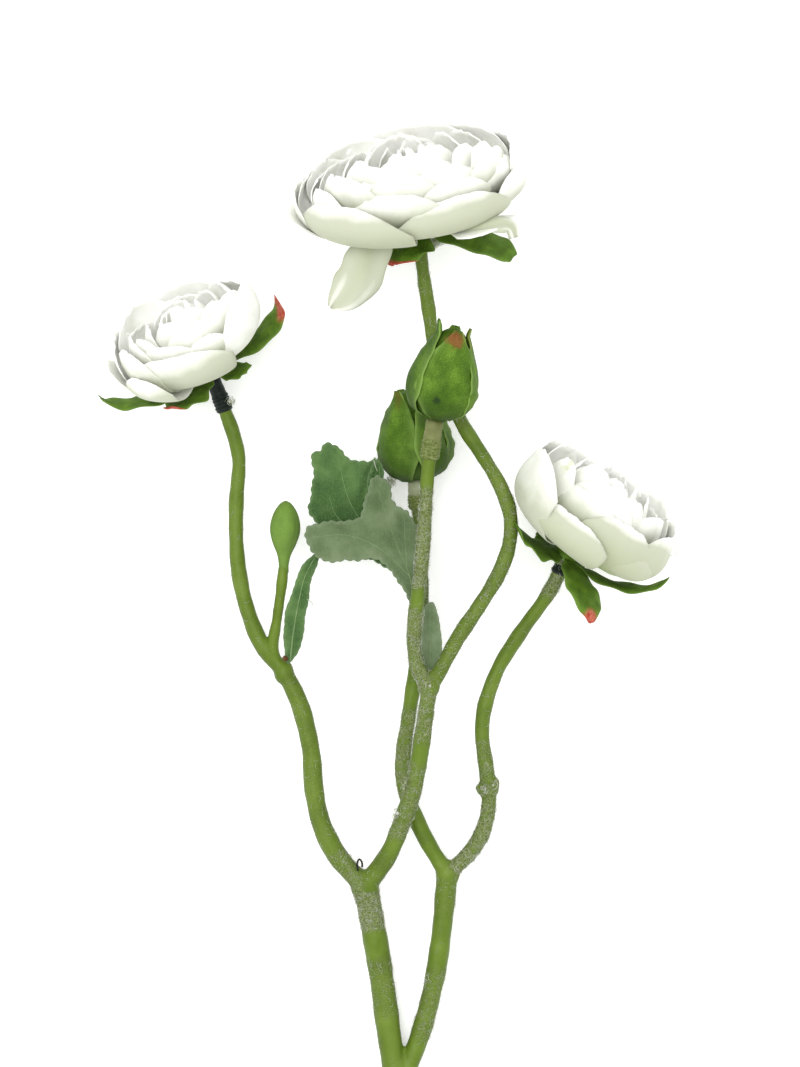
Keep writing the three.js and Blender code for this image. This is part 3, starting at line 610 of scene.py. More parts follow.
def closed_sheet(grid, thickness, pressed=False):
    """A thin closed shell round a grid of points, thinner at its edges: points and faces.

    A pressed sheet lies flat on the floor where it would dip below it.
    """
    rows, row = grid.shape[:2]
    normal = unit(np.cross(np.gradient(grid, axis=1), np.gradient(grid, axis=0)))
    down, across = (np.minimum(np.arange(count), np.arange(count)[::-1]) for count in (rows, row))
    half = thickness / 2 * np.clip(0.4 + 0.3 * np.minimum.outer(down, across), 0, 1)[..., None]
    front = grid + normal * half
    back = grid - normal * half
    if pressed:
        up = normal[..., 2] > 0
        front[..., 2] = np.maximum(front[..., 2], np.where(up, thickness, 0))
        back[..., 2] = np.maximum(back[..., 2], np.where(up, 0, thickness))
    index = np.arange(rows * row).reshape(rows, row)
    offset = rows * row
    quads = np.stack([index[:-1, :-1], index[:-1, 1:], index[1:, 1:], index[1:, :-1]], -1).reshape(-1, 4)
    around = np.concatenate([index[0, :-1], index[:-1, -1], index[-1, :0:-1], index[:0:-1, 0]])
    onward = np.roll(around, -1)
    rim = np.stack([onward, around, around + offset, onward + offset], -1)
    faces = [*map(tuple, quads), *map(tuple, quads[:, ::-1] + offset), *map(tuple, rim)]
    return np.concatenate([front.reshape(-1, 3), back.reshape(-1, 3)]), faces


def both(values):
    """A grid of values, repeated for the two faces of a closed sheet."""
    flat = np.asarray(values, float).reshape(-1, *np.shape(values)[2:])
    return np.concatenate([flat, flat])


def ringed_shell(rings, start, end):
    """A closed shell through rings of points, from a start point to an end point: points and faces."""
    count, sides = len(rings), len(rings[0])
    index = np.arange(count * sides).reshape(count, sides)
    after = np.roll(index, -1, axis=1)
    walls = np.stack([index[:-1], after[:-1], after[1:], index[1:]], -1).reshape(-1, 4)
    first = count * sides
    caps = [(first, after[0, k], index[0, k]) for k in range(sides)]
    caps += [(first + 1, index[-1, k], after[-1, k]) for k in range(sides)]
    return np.vstack([*rings, [start], [end]]), [*map(tuple, walls), *caps]


def tube_shell(path, radii, sides=20):
    """A closed tube round a path."""
    along = unit(np.gradient(path, axis=0))
    across = np.cross(along[0], (0.3, 0.2, 1))
    angles = np.linspace(0, 2 * math.pi, sides, endpoint=False)
    rings = []
    for centre, forward, radius in zip(path, along, np.broadcast_to(radii, len(path))):
        across = unit(across - forward * np.dot(across, forward))
        other = np.cross(forward, across)
        rings.append(centre + radius * (np.outer(np.cos(angles), across) + np.outer(np.sin(angles), other)))
    return ringed_shell(rings, path[0], path[-1])


def lathe_shell(outline, sides):
    """A round closed shell from its outline of radii and heights, its poles single points."""
    angles = np.linspace(0, 2 * math.pi, sides, endpoint=False)
    rings = [round_axis(np.full(sides, radius), height, angles) for radius, height in outline[1:-1]]
    return ringed_shell(rings, (0, outline[0][1], 0), (0, outline[-1][1], 0))


def ball_shell(steps, sides):
    """A ball with a radius of 1."""
    angles = np.linspace(0, math.pi, steps)
    return lathe_shell([(math.sin(angle), -math.cos(angle)) for angle in angles], sides)


def pod_shell(outline, radius, length, sides):
    """A round body from an outline of shares of its radius and length."""
    smooth = smooth_path([(share * radius, height * length) for share, height in outline], count=40)
    smooth[[0, -1], 0] = 0
    return lathe_shell(smooth, sides)


def plain_mesh(maker, name):
    """A piece that is the plain mesh of an object as its modifiers leave it."""
    graph = bpy.context.evaluated_depsgraph_get()
    mesh = bpy.data.meshes.new_from_object(maker.evaluated_get(graph), depsgraph=graph)
    mesh.name = name
    return placed(name, mesh)


def joined(pieces):
    """The first of the pieces, with the others' meshes joined to it."""
    with bpy.context.temp_override(active_object=pieces[0], selected_editable_objects=pieces):
        bpy.ops.object.join()
    return pieces[0]


def settle(mesh):
    """Lifts what dips below the floor to its surface."""
    spots = np.empty(3 * len(mesh.vertices))
    mesh.vertices.foreach_get("co", spots)
    spots[2::3] = np.maximum(spots[2::3], 0)
    mesh.vertices.foreach_set("co", spots)


def kept(piece, slot, *nodes):
    """Rides the finished piece on the spray, in place of the nodes. Its slot is not used."""
    settle(piece.data)
    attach(piece, "root")
    if nodes:
        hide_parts(*nodes)


# Node trees


def node(tree, kind, inputs=None, **settings):
    made = tree.nodes.new(kind)
    for name, value in settings.items():
        setattr(made, name, value)
    for name, value in (inputs or {}).items():
        if isinstance(value, bpy.types.NodeSocket):
            tree.links.new(value, made.inputs[name])
        else:
            made.inputs[name].default_value = value
    return made


def output(tree, kind, inputs=None, out=0, **settings):
    return node(tree, kind, inputs, **settings).outputs[out]


def calc(tree, operation, first, second=0.0, third=0.0, clamp=False):
    inputs = {0: first, 1: second, 2: third}
    return output(tree, "ShaderNodeMath", inputs, operation=operation, use_clamp=clamp)


def random_draw(tree, low, high, seed):
    """Random numbers or, between two tuples, random vectors."""
    if isinstance(low, tuple):
        inputs = {0: low, 1: high, "Seed": seed}
        return output(tree, "FunctionNodeRandomValue", inputs, data_type="FLOAT_VECTOR")
    inputs = {2: low, 3: high, "Seed": seed}
    return output(tree, "FunctionNodeRandomValue", inputs, 1, data_type="FLOAT")


def growing_tree(name, **inputs):
    """An empty Geometry Nodes tree with named inputs, and its input and output nodes."""
    tree = bpy.data.node_groups.new(name, "GeometryNodeTree")
    tree.interface.new_socket("Geometry", in_out="OUTPUT", socket_type="NodeSocketGeometry")
    for label, kind in {"Geometry": "Geometry", **inputs, "Material": "Material"}.items():
        tree.interface.new_socket(label, in_out="INPUT", socket_type="NodeSocket" + kind)
    return tree, tree.nodes.new("NodeGroupInput").outputs, tree.nodes.new("NodeGroupOutput").inputs


def swept(tree, curve, sides, radius, scale=1.0):
    """Closed tubes along curves."""
    section = output(tree, "GeometryNodeCurvePrimitiveCircle", {"Resolution": sides, "Radius": radius})
    inputs = {"Curve": curve, "Profile Curve": section, "Scale": scale, "Fill Caps": True}
    return output(tree, "GeometryNodeCurveToMesh", inputs)


def finish_tree(tree, shapes, material, result):
    """Ends a tree: its shapes become plain geometry with one material."""
    real = output(tree, "GeometryNodeRealizeInstances", {"Geometry": shapes})
    coated = output(tree, "GeometryNodeSetMaterial", {"Geometry": real, "Material": material})
    tree.links.new(coated, result["Geometry"])


def grow(base, tree, name, material, **values):
    """The plain mesh that a tree grows on a base object, with values for its named inputs."""
    modifier = base.modifiers.new(tree.name, "NODES")
    modifier.node_group = tree
    values["Material"] = material
    for item in tree.interface.items_tree:
        if item.in_out == "INPUT" and item.name in values:
            modifier[item.identifier] = values[item.name]
    made = plain_mesh(base, name)
    base.modifiers.remove(modifier)
    return made


# Materials


def shade(red, green, blue):
    """A colour from the screen values that it shows in the studio's light: 0 to 255, more if overexposed."""
    linear = [value / 255 / 12.92 if value <= 10 else ((value / 255 + 0.055) / 1.055) ** 2.4
              for value in (red, green, blue)]
    return (*(value / STUDIO_LIGHT for value in linear), 1)


class Coat:
    """A material in the making, with the nodes that feed its one shader. Colours are screen values."""

    def __init__(self, name, roughness, **constants):
        self.material = bpy.data.materials.new(name)
        self.material.use_nodes = True
        self.tree = self.material.node_tree
        self.sockets = self.tree.nodes["Principled BSDF"].inputs
        self.sockets["Roughness"].default_value = roughness
        for label, value in constants.items():
            self.sockets[label.replace("_", " ")].default_value = value

    def output(self, *args, **settings):
        return output(self.tree, *args, **settings)

    def calc(self, *args, **settings):
        return calc(self.tree, *args, **settings)

    def place(self):
        return self.output("ShaderNodeTexCoord", out="Object")

    def flat_map(self):
        return self.output("ShaderNodeUVMap", uv_map="flat")

    def value(self, label):
        return self.output("ShaderNodeAttribute", out="Fac", attribute_name=label)

    def noise(self, size, detail=3, stretch=(1, 1, 1), flat=False):
        """Soft noise whose spots are about a size in millimetres, in space or on the piece's flat map."""
        scale = 1 / size if flat else 1 / (size * MM)
        inputs = {
            "Vector": self.flat_map() if flat else self.place(), "Scale": tuple(scale * s for s in stretch)
        }
        spots = self.output("ShaderNodeMapping", inputs)
        inputs = {"Vector": spots, "Scale": 1.0, "Detail": float(detail)}
        return self.output("ShaderNodeTexNoise", inputs, "Fac")

    def threads(self, pitch, axis):
        """Parallel threads on the piece's flat map, a pitch in millimetres apart."""
        inputs = {"Vector": self.flat_map(), "Scale": WAVE_SCALE / pitch, "Distortion": 0.6, "Detail": 1.0}
        return self.output("ShaderNodeTexWave", inputs, "Fac", bands_direction=axis)

    def weave(self, pitch):
        return self.calc("ADD", self.threads(pitch, "X"), self.threads(pitch, "Y"))

    def ramp(self, share, *stops):
        """Colours along a share, from stops of a place and the three values of its colour."""
        made = node(self.tree, "ShaderNodeValToRGB", {"Fac": share})
        band = made.color_ramp
        while len(band.elements) < len(stops):
            band.elements.new(0.5)
        for element, (place, *colour) in zip(band.elements, stops):
            element.position = place
            element.color = shade(*colour)
        return made.outputs["Color"]

    def over(self, under, top, share, much=None):
        """A colour laid over another one by a share, or by so much of the share."""
        if much:
            share = self.calc("MULTIPLY", share, much)
        if isinstance(top, tuple):
            top = shade(*top)
        return self.output("ShaderNodeMix", {"Factor": share, 6: under, 7: top}, 2, data_type="RGBA")

    def edge_on_shade(self, under, top, blend, much):
        """A colour with another one over it where the surface is seen from the side: painted shade that
        rounds a form.
        """
        return self.over(under, top, self.output("ShaderNodeLayerWeight", {"Blend": blend}, "Facing"), much)

    def blot(self, centre, radius, strength):
        """A ragged spot round a place on the spray, as a share."""
        spot = tuple(value * MM for value in centre)
        away = self.output("ShaderNodeVectorMath", {0: self.place(), 1: spot}, "Value", operation="DISTANCE")
        near = self.calc("MULTIPLY_ADD", away, -2 / (radius * MM), 2.0)
        ragged = self.calc("MULTIPLY_ADD", self.noise(radius / 2), 2.4, -1.2)
        return self.calc("MULTIPLY", self.calc("ADD", near, ragged, clamp=True), strength)

    def relief(self, height, depth, strength=1.0):
        """Bump with a depth in millimetres, on top of the shader's own normal."""
        inputs = {"Height": height, "Distance": depth * MM, "Strength": strength}
        if self.sockets["Normal"].links:
            inputs["Normal"] = self.sockets["Normal"].links[0].from_socket
        self.tree.links.new(self.output("ShaderNodeBump", inputs), self.sockets["Normal"])

    def finished(self, colour):
        """The material, with its shader's base colour."""
        self.tree.links.new(colour, self.sockets["Base Color"])
        return self.material


def petal_cloth():
    """White woven cloth, cream-green towards its root, the darker root tones partly painted shade, with a
    soft sheen.
    """
    coat = Coat("petal_cloth", 0.62, Sheen_Weight=0.15, Sheen_Roughness=0.45, Specular_IOR_Level=0.2)
    cloud = coat.calc("MULTIPLY_ADD", coat.noise(7), 0.1, -0.05)
    share = coat.calc("ADD", coat.value("root"), cloud, clamp=True)
    # The darker, greyer stops stand partly for the cloth's green root and partly for painted shade.
    tint = coat.ramp(share, (0, 301.84, 301.84, 297.78), (0.04, 276.23, 277.74, 266.96),
                     (0.13, 216, 221, 196), (0.42, 203, 209, 176), (0.75, 183, 192, 150), (1, 158, 177, 108))
    streak = coat.noise(1, 2, stretch=(1.6, 0.12, 1), flat=True)
    faint = coat.over(tint, (222, 226, 208), streak, 0.12)
    stained = coat.over(faint, (206, 220, 132), coat.blot(PETAL_STAIN, 4.2, 0.75))
    coat.relief(coat.weave(0.34), 0.03, 0.5)
    coat.relief(streak, 0.25, 0.4)
    return coat.finished(coat.over(stained, (96, 96, 84), coat.blot(PETAL_SPECK, 0.45, 1)))


def sepal_cloth():
    """Green cloth with fine ribs along it, a light edge, painted shade at its root and a red-pink tip where
    the piece has one.
    """
    coat = Coat("sepal_cloth", 0.65, Specular_IOR_Level=0.12)
    mottle = coat.noise(3.5)
    green = coat.ramp(mottle, (0.3, 66, 98, 14), (0.52, 92, 130, 28), (0.75, 120, 158, 50))
    edged = coat.over(green, (134, 168, 80), coat.value("edge"), 0.6)
    # Painted shade where the sepal tucks under its bloom.
    deep = coat.over(edged, (48, 72, 14), coat.value("root"), 0.2)
    ribs = coat.threads(0.62, "X")
    lined = coat.over(deep, (128, 164, 66), ribs, 0.3)
    pink = coat.ramp(coat.noise(1.2), (0.35, 186, 66, 46), (0.7, 226, 132, 108))
    blush = coat.calc("MULTIPLY", coat.value("tip"), coat.calc("ADD", mottle, 0.7), clamp=True)
    coat.relief(ribs, 0.12, 0.7)
    coat.relief(coat.noise(0.4, 2), 0.06, 0.5)
    return coat.finished(coat.over(lined, pink, blush))


def bud_skin():
    """Soft green plastic, mottled, with painted shade at its base and sides, light edges and red-pink tips.
    """
    coat = Coat("bud_skin", 0.6, Specular_IOR_Level=0.12)
    grain = coat.noise(0.3, 2)
    mottle = coat.calc("MULTIPLY_ADD", grain, 0.42, coat.calc("MULTIPLY", coat.noise(6, 4), 0.58))
    green = coat.ramp(mottle, (0.36, 64, 98, 16), (0.5, 90, 128, 32), (0.64, 124, 164, 54))
    # Painted shade at the bud's base and between its sepals.
    foot_shade = coat.over(green, (46, 72, 16), coat.value("root"), 0.85)
    edged = coat.over(foot_shade, (150, 186, 92), coat.value("edge"), 0.8)
    pink = coat.ramp(coat.noise(1.6), (0.35, 140, 52, 34), (0.7, 170, 86, 62))
    blush = coat.calc("ADD", coat.value("tip"), coat.blot(BUD_BLUSH, 3.2, 0.8), clamp=True)
    tipped = coat.over(edged, pink, blush, 0.86)
    bruised = coat.over(tipped, (34, 56, 26), coat.blot(BUD_BRUISE, 1.5, 0.85))
    coat.relief(grain, 0.06, 0.5)
    coat.relief(coat.noise(2.6, 2, stretch=(1.6, 0.5, 1.6)), 0.5, 0.5)
    # Painted shade where the bud turns from view.
    return coat.finished(coat.edge_on_shade(bruised, (50, 76, 14), 0.4, 0.6))


def leaf_cloth(name, deep, middle, light, edge):
    """Woven cloth in the colours of one side of a leaf."""
    coat = Coat(name, 0.6, Sheen_Weight=0.06, Specular_IOR_Level=0.25)
    lit = coat.ramp(coat.noise(6, 5), (0.3, *deep), (0.5, *middle), (0.72, *light))
    cloth = coat.over(lit, (34, 80, 12), coat.value("shaded"))
    grain = coat.noise(0.42, 2, stretch=(1, 0.6, 1))
    specked = coat.over(cloth, light, coat.calc("MULTIPLY_ADD", grain, 3.0, -1.2, clamp=True), 0.4)
    coat.relief(coat.weave(0.4), 0.05, 0.6)
    coat.relief(grain, 0.12, 0.5)
    return coat.finished(coat.over(specked, edge, coat.value("edge"), 0.7))


def vein_cloth():
    """The pale raised veins of a leaf."""
    coat = Coat("vein_cloth", 0.6)
    coat.relief(coat.noise(0.4), 0.05, 0.5)
    return coat.finished(coat.ramp(coat.noise(2), (0.3, 112, 146, 86), (0.7, 150, 176, 118)))


def scratches(coat):
    """Lines between small bent cells, as a share."""
    place = coat.place()
    bend = coat.output("ShaderNodeTexNoise", {"Vector": place, "Scale": 1400.0, "Detail": 2.0}, "Color")
    inputs = {0: bend, 1: (0.0011, 0.0011, 0.0011), 2: place}
    bent = coat.output("ShaderNodeVectorMath", inputs, operation="MULTIPLY_ADD")
    inputs = {"Vector": bent, "Scale": 1050.0}
    gap = coat.output("ShaderNodeTexVoronoi", inputs, "Distance", feature="DISTANCE_TO_EDGE")
    return coat.calc("LESS_THAN", gap, 0.06)


def stem_plastic():
    """Yellow-green moulded plastic, dulled and covered with pale squiggles where it is scuffed, with painted
    shade along its sides.
    """
    coat = Coat("stem_plastic", 0.5, Specular_IOR_Level=0.2)
    green = coat.ramp(coat.noise(9, 4), (0.3, 86, 112, 16), (0.46, 101, 129, 24), (0.6, 110, 138, 36),
                      (0.78, 128, 154, 56))
    drawn = coat.noise(1.1, 3, stretch=(1, 0.3, 1))
    streaked = coat.over(green, (136, 158, 70), drawn, 0.22)
    uneven = coat.calc("MULTIPLY", coat.noise(2.6, 5), 1.7)
    broken = coat.calc("MULTIPLY", coat.value("scuff"), uneven, clamp=True)
    dull = coat.ramp(coat.noise(0.45, 4), (0.38, 74, 92, 28), (0.66, 146, 156, 98))
    dulled = coat.over(streaked, dull, broken, 0.75)
    squiggle = coat.calc("MULTIPLY", scratches(coat), coat.calc("GREATER_THAN", broken, 0.5))
    shown = coat.calc("MULTIPLY", squiggle, coat.calc("MULTIPLY", broken, 0.6))
    lined = coat.over(dulled, (196, 203, 164), shown)
    coat.tree.links.new(coat.calc("MULTIPLY_ADD", broken, 0.3, 0.42), coat.sockets["Roughness"])
    coat.relief(drawn, 0.25, 0.5)
    coat.relief(coat.noise(3.2, 2), 0.6, 0.5)
    coat.relief(squiggle, 0.12, 0.8)
    # Painted shade where the stem turns from view, to round it.
    return coat.finished(coat.edge_on_shade(lined, (66, 86, 14), 0.3, 0.75))


def glue_film():
    """Whitish hardened glue."""
    coat = Coat("glue_film", 0.4, Specular_IOR_Level=0.5)
    coat.relief(coat.noise(0.8), 0.25, 0.8)
    return coat.finished(coat.ramp(coat.noise(3), (0.35, 170, 180, 136), (0.65, 232, 235, 222)))


def moulded(name, roughness, dark, light, size):
    """Plain moulded plastic with a fine grain and a broken colour."""
    coat = Coat(name, roughness, Specular_IOR_Level=0.2)
    coat.relief(coat.noise(0.6), 0.12, 0.7)
    return coat.finished(coat.ramp(coat.noise(size, 4), (0.3, *dark), (0.7, *light)))


def sleeve_plastic(name, dark, light):
    """Pale plastic, mottled olive where it is worn."""
    coat = Coat(name, 0.5, Specular_IOR_Level=0.2)
    pale = coat.ramp(coat.noise(3, 2), (0.3, *dark), (0.7, *light))
    mottled = coat.ramp(coat.noise(0.55, 4), (0.38, 90, 107, 34), (0.68, 146, 157, 96))
    coat.relief(coat.noise(0.6), 0.15, 0.7)
    return coat.finished(coat.over(pale, mottled, coat.value("worn")))


def floor_paper():
    """White paper that glows faintly, so that its shadows stay pale."""
    coat = Coat("floor_paper", 0.9, Specular_IOR_Level=0.1, Emission_Strength=0.2,
                Emission_Color=(1, 1, 1, 1))
    cloud = coat.noise(400, 1)
    return coat.finished(coat.ramp(cloud, (0.3, 301.2, 301.2, 301.2), (0.7, 302.5, 302.5, 302.5)))


# Stem


def branch_path(name, step=STEM_STEP):
    return smooth_path(BRANCHES[name][1], step=step)


def stem_lumps():
    """One closed shell for each branch, with slightly uneven thickness, and for each swelling."""
    shells = Shells()
    for seed, (name, (radii, _)) in enumerate(BRANCHES.items()):
        path = branch_path(name)
        at = np.linspace(0, 1, len(path))
        length = at * len(path) * STEM_STEP
        uneven = 0.09 * np.sin(length * 0.31 + seed) + 0.06 * np.sin(length * 0.83 + 2 * seed)
        points, faces = tube_shell(path, mix(*radii, at) + uneven + STEM_EXTRA)
        points[:, 2] = np.maximum(points[:, 2], 0)
        shells.add(points, faces)
    for centre, across, along in SWELLINGS:
        points, faces = ball_shell(15, 20)
        shells.add(points * (across, along, across) + centre, faces)
    return shells.piece("stem_lumps")


def scuff_at(name, at):
    """How scuffed a branch is at a share of its length. It fades out just beyond each scuffed stretch."""
    amounts = [SCUFF_LEAST]
    for branch, start, end, much in SCUFFS:
        if branch == name:
            amounts.append(much * max(0, 1 - max(start - at, at - end, 0) / SCUFF_FADE))
    return max(amounts)


def mark_scuffs(mesh):
    """Gives each point of the stem how scuffed it is, from the nearest place on a branch."""
    paths = {name: branch_path(name, 1) for name in BRANCHES}
    tree = kdtree.KDTree(sum(len(path) for path in paths.values()))
    amounts = []
    for name, path in paths.items():
        for at, point in zip(np.linspace(0, 1, len(path)), path):
            tree.insert(point, len(amounts))
            amounts.append(scuff_at(name, at))
    tree.balance()
    scuff = mesh.attributes.new("scuff", "FLOAT", "POINT")
    scuff.data.foreach_set("value", [amounts[tree.find(vertex.co / MM)[1]] for vertex in mesh.vertices])


def make_stem():
    lumps = stem_lumps()
    fused = lumps.modifiers.new("fused", "REMESH")
    fused.mode = "VOXEL"
    fused.voxel_size = STEM_VOXEL * MM
    fused.use_smooth_shade = True
    eased = lumps.modifiers.new("eased", "SMOOTH")
    eased.factor = 0.5
    eased.iterations = 6
    stem = plain_mesh(lumps, "stem_surface")
    bpy.data.objects.remove(lumps)
    stem.data.materials.append(stem_plastic())
    mark_scuffs(stem.data)
    return stem


# Glue and fittings


def fibre_tree():
    """Short curved fibres that lie on a surface, more of them where it is scuffed."""
    tree, given, result = growing_tree("glue_fibres", Density="Float", Length="Float", Thickness="Float",
                                       Seed="Int")
    scuff = output(tree, "GeometryNodeInputNamedAttribute", {"Name": "scuff"}, data_type="FLOAT")
    many = calc(tree, "MULTIPLY", calc(tree, "POWER", scuff, 1.6), given["Density"])
    inputs = {"Mesh": given["Geometry"], "Density": many, "Seed": given["Seed"]}
    spots = node(tree, "GeometryNodeDistributePointsOnFaces", inputs).outputs
    inputs = {"Resolution": 4, "Start": (-0.5, 0, 0), "Middle": (0.05, 0.45, 0.42), "End": (0.5, -0.15, 0.1)}
    arc = output(tree, "GeometryNodeCurveQuadraticBezier", inputs)
    size = output(tree, "ShaderNodeCombineXYZ", {axis: given["Length"] for axis in range(3)})
    curve = output(tree, "GeometryNodeTransform", {"Geometry": arc, "Scale": size})
    inputs = {
        "Rotation": spots["Rotation"],
        "Rotate By": random_draw(tree, (0.0, 0.0, 0.0), (0.3, 0.3, 6.283), given["Seed"]),
    }
    turned = output(tree, "FunctionNodeRotateRotation", inputs, rotation_space="LOCAL")
    inputs = {
        "Points": spots["Points"],
        "Instance": swept(tree, curve, 3, given["Thickness"]),
        "Rotation": turned,
        "Scale": random_draw(tree, 0.35, 1.25, given["Seed"]),
    }
    finish_tree(tree, output(tree, "GeometryNodeInstanceOnPoints", inputs), given["Material"], result)
    return tree


def fibres_on(base, name, density, length, thickness, seed):
    """Glue fibres on a piece, so many to the square metre where it is fully scuffed."""
    return grow(base, fibre_tree(), name, glue_film(), Density=density, Length=length * MM,
                Thickness=thickness * MM, Seed=seed)


def make_lumps(name, lumps, material):
    """Small uneven lumps at places on the spray."""
    shells = Shells("scuff")
    for seed, (place, radius) in enumerate(lumps):
        points, faces = ball_shell(9, 14)
        uneven = 1 + 0.2 * np.sin(points[:, :1] * 4 + seed) * np.sin(points[:, 1:2] * 5 + 2 * seed)
        shells.add(points * uneven * radius + place, faces, points[:, :2], scuff=1)
    return shells.piece(name, material)


def thread(name, routes, radius, sides, material):
    """Thin closed tubes along routes."""
    shells = Shells()
    for route in routes:
        shells.add(*tube_shell(smooth_path(route, step=0.3), radius, sides))
    return shells.piece(name, material)


def make_glue():
    """Lumps of glue with fibres that stand off them, and a few loose strands."""
    lumps = make_lumps("glue_lumps", GLUE_LUMPS, glue_film())
    tufts = fibres_on(lumps, "glue_tufts", density=5e6, length=2.6, thickness=0.05, seed=3)
    return joined([lumps, tufts, thread("glue_strands", GLUE_STRANDS, STRAND_RADIUS, 6, glue_film())])


def make_sleeve(name, branch, span, wall, material):
    """A short sleeve round a branch: smooth and pale at its upper half, wider and worn at its lower one."""
    path = stretch_of(branch_path(branch, 0.2), span)
    at = np.linspace(0, 1, len(path))
    lip = np.clip(np.minimum(at, 1 - at) * len(path) / 4, 0, 1) ** 0.5
    worn = np.clip((0.55 - at) * 12, 0, 1)
    uneven = worn * (0.26 + 0.12 * np.sin(at * 61) + 0.08 * np.sin(at * 107 + 1)) + 0.05 * np.sin(at * 23)
    radius = mix(*BRANCHES[branch][0], mix(*span, at)) + mix(0.2, wall, lip) + uneven * lip
    shells = Shells("worn")
    points, faces = tube_shell(path, radius, SLEEVE_SIDES)
    shells.add(points, faces, worn=np.concatenate([np.repeat(worn, SLEEVE_SIDES), [1, 0]]))
    return shells.piece(name, material)


def make_fittings():
    beige = sleeve_plastic("front_sleeve_plastic", (112, 120, 62), (140, 144, 92))
    # The rear sleeve's plastic is a paler copy of the front one's: painted light against the shade it lies
    # in.
    grey = sleeve_plastic("rear_sleeve_plastic_lit", (148, 157, 120), (174, 180, 146))
    dark = moulded("collar_plastic", 0.5, (4, 16, 12), (28, 44, 34), 0.9)
    for side, head, kind, span, wall, plastic in (
        ("front", "bud", "sleeve", FRONT_SLEEVE, SLEEVE_WALL, beige),
        ("rear", "bud", "sleeve", REAR_SLEEVE, SLEEVE_WALL, grey),
        ("left", "bloom", "collar", LEFT_COLLAR, COLLAR_WALL, dark),
        ("right", "bloom", "collar", RIGHT_COLLAR, COLLAR_WALL, dark),
    ):
        fitting = make_sleeve(f"{side}_{kind}", f"{side}_{head}_branch", span, wall, plastic)
        kept(fitting, f"{kind}_plastic", f"{side}_{head}_{kind}")
    metal = moulded("wire_metal", 0.4, (18, 16, 15), (48, 44, 40), 0.8)
    kept(thread("wire_stub", [WIRE_END], WIRE_RADIUS, 12, metal), "wire_metal", "wire_end")
    kept(make_glue(), "stem_plastic")
    brown = moulded("stub_fabric", 0.7, (74, 46, 20), (128, 86, 44), 0.8)
    kept(make_lumps("leaf_stub", [LEAF_STUB], brown), "leaf_fabric")


# Blooms


def petal_profile(root, reach, rim, inward, belly, flare=0):
    """A petal's middle line from its root to its rim: distances from the bloom's axis, and heights."""
    root_radius, root_height = root
    return [
        (root_radius, root_height), (reach * 0.76, root_height - PETAL_SAG),
        (reach * (1.14 - 0.03 * flare), mix(root_height, rim, belly)), (reach - inward + flare, rim),
    ]


def petal_sheet(profile, reach, turn, spread, draw, form):
    """A petal's grid of points in its bloom's own frame, its map, and its root tint: green, partly painted
    shade.
    """
    side, rise = np.meshgrid(np.linspace(-1, 1, form["across"] + 1), np.linspace(0, 1, form["along"] + 1))
    share = rise * (1 - form["rounding"] * np.abs(side) ** 2.8)
    spot = bezier(profile, share)
    wave = form["ruffle"] * share**2 * np.sin(side * RUFFLE_TURN + 6 * draw)
    nick = NICK_DEPTH * share**10 * (np.sin(side * 17 + 9 * draw) + 0.6 * np.sin(side * 41 + 5 * draw))
    dent = DENT_DEPTH * share * np.sin(side * 4.4 + 9 * draw) * np.sin(share * 5 + 4 * draw)
    lap = side * PETAL_OVERLAP
    cup = PETAL_CUP * reach
    radius = spot[..., 0] + lap * mix(0.5, 1, share) - cup * side**2 * share + wave + nick + dent
    height = spot[..., 1] + 0.5 * wave - lap * (1 - share) + nick
    grid = round_axis(radius, height, np.radians(turn + side * spread / 2))
    width = reach * math.radians(spread) / 2
    flat = np.stack([side * width * mix(0.4, 1, share), share * reach], -1)
    return grid, flat, form["tint"] * (1 - share)


def inner_petal(reach, rim, inward, turn, spread, draw, tint):
    root = (reach * INNER_ROOT["radius"], INNER_ROOT["height"])
    profile = petal_profile(root, reach, rim, inward, INNER_BELLY)
    return petal_sheet(profile, reach, turn, spread, draw, {**INNER_PETAL, "tint": tint})


def add_petal(shells, sheet, pose=None):
    """Adds a petal where its bloom's pose puts it, pressed flat at the floor, or in the bloom's own frame."""
    grid, flat, root = sheet
    if pose:
        grid = moved(grid, pose)
    points, faces = closed_sheet(grid, PETAL_THICKNESS, pressed=pose is not None)
    outside = root.ravel()
    # The faces that look into the bloom stay near white: painted light for the light shining through thin
    # petals.
    shells.add(points, faces, both(flat), root=np.concatenate([outside, INNER_FACE_LIT_SHARE * outside]))


def laid_petals(name, bloom, cloth):
    """The petals that are laid one by one: the outer ones and the inner ones that show."""
    shells = Shells("root")
    pose = pose_of(bloom)
    for index, (turn, spread, rim, out, rounding, flare) in enumerate(bloom["outer_petals"]):
        reach = bloom["radius"] + out
        root = (bloom["radius"] * OUTER_ROOT["radius"], OUTER_ROOT["height"] - 0.4 * out)
        profile = petal_profile(root, reach, rim, reach * rim / 150, OUTER_BELLY, flare)
        # Petals that face the picture's lower edge turn from the light and take more painted shade at their
        # roots.
        turned_from_light = max(math.cos(math.radians(turn + bloom["tilt"])), 0)
        form = {**OUTER_PETAL, "rounding": rounding, "tint": mix(*bloom["root_tint_and_shade"], turned_from_light)}
        add_petal(shells, petal_sheet(profile, reach, turn, spread, chance(bloom["seed"], index), form), pose)
    for index, (turn, spread, rim, reach, inward) in enumerate(bloom["inner_petals"]):
        draw = chance(bloom["seed"], 50 + index)
        add_petal(shells, inner_petal(reach, rim, inward, turn, spread, draw, LAID_TINT), pose)
    return shells.piece(name, cloth)


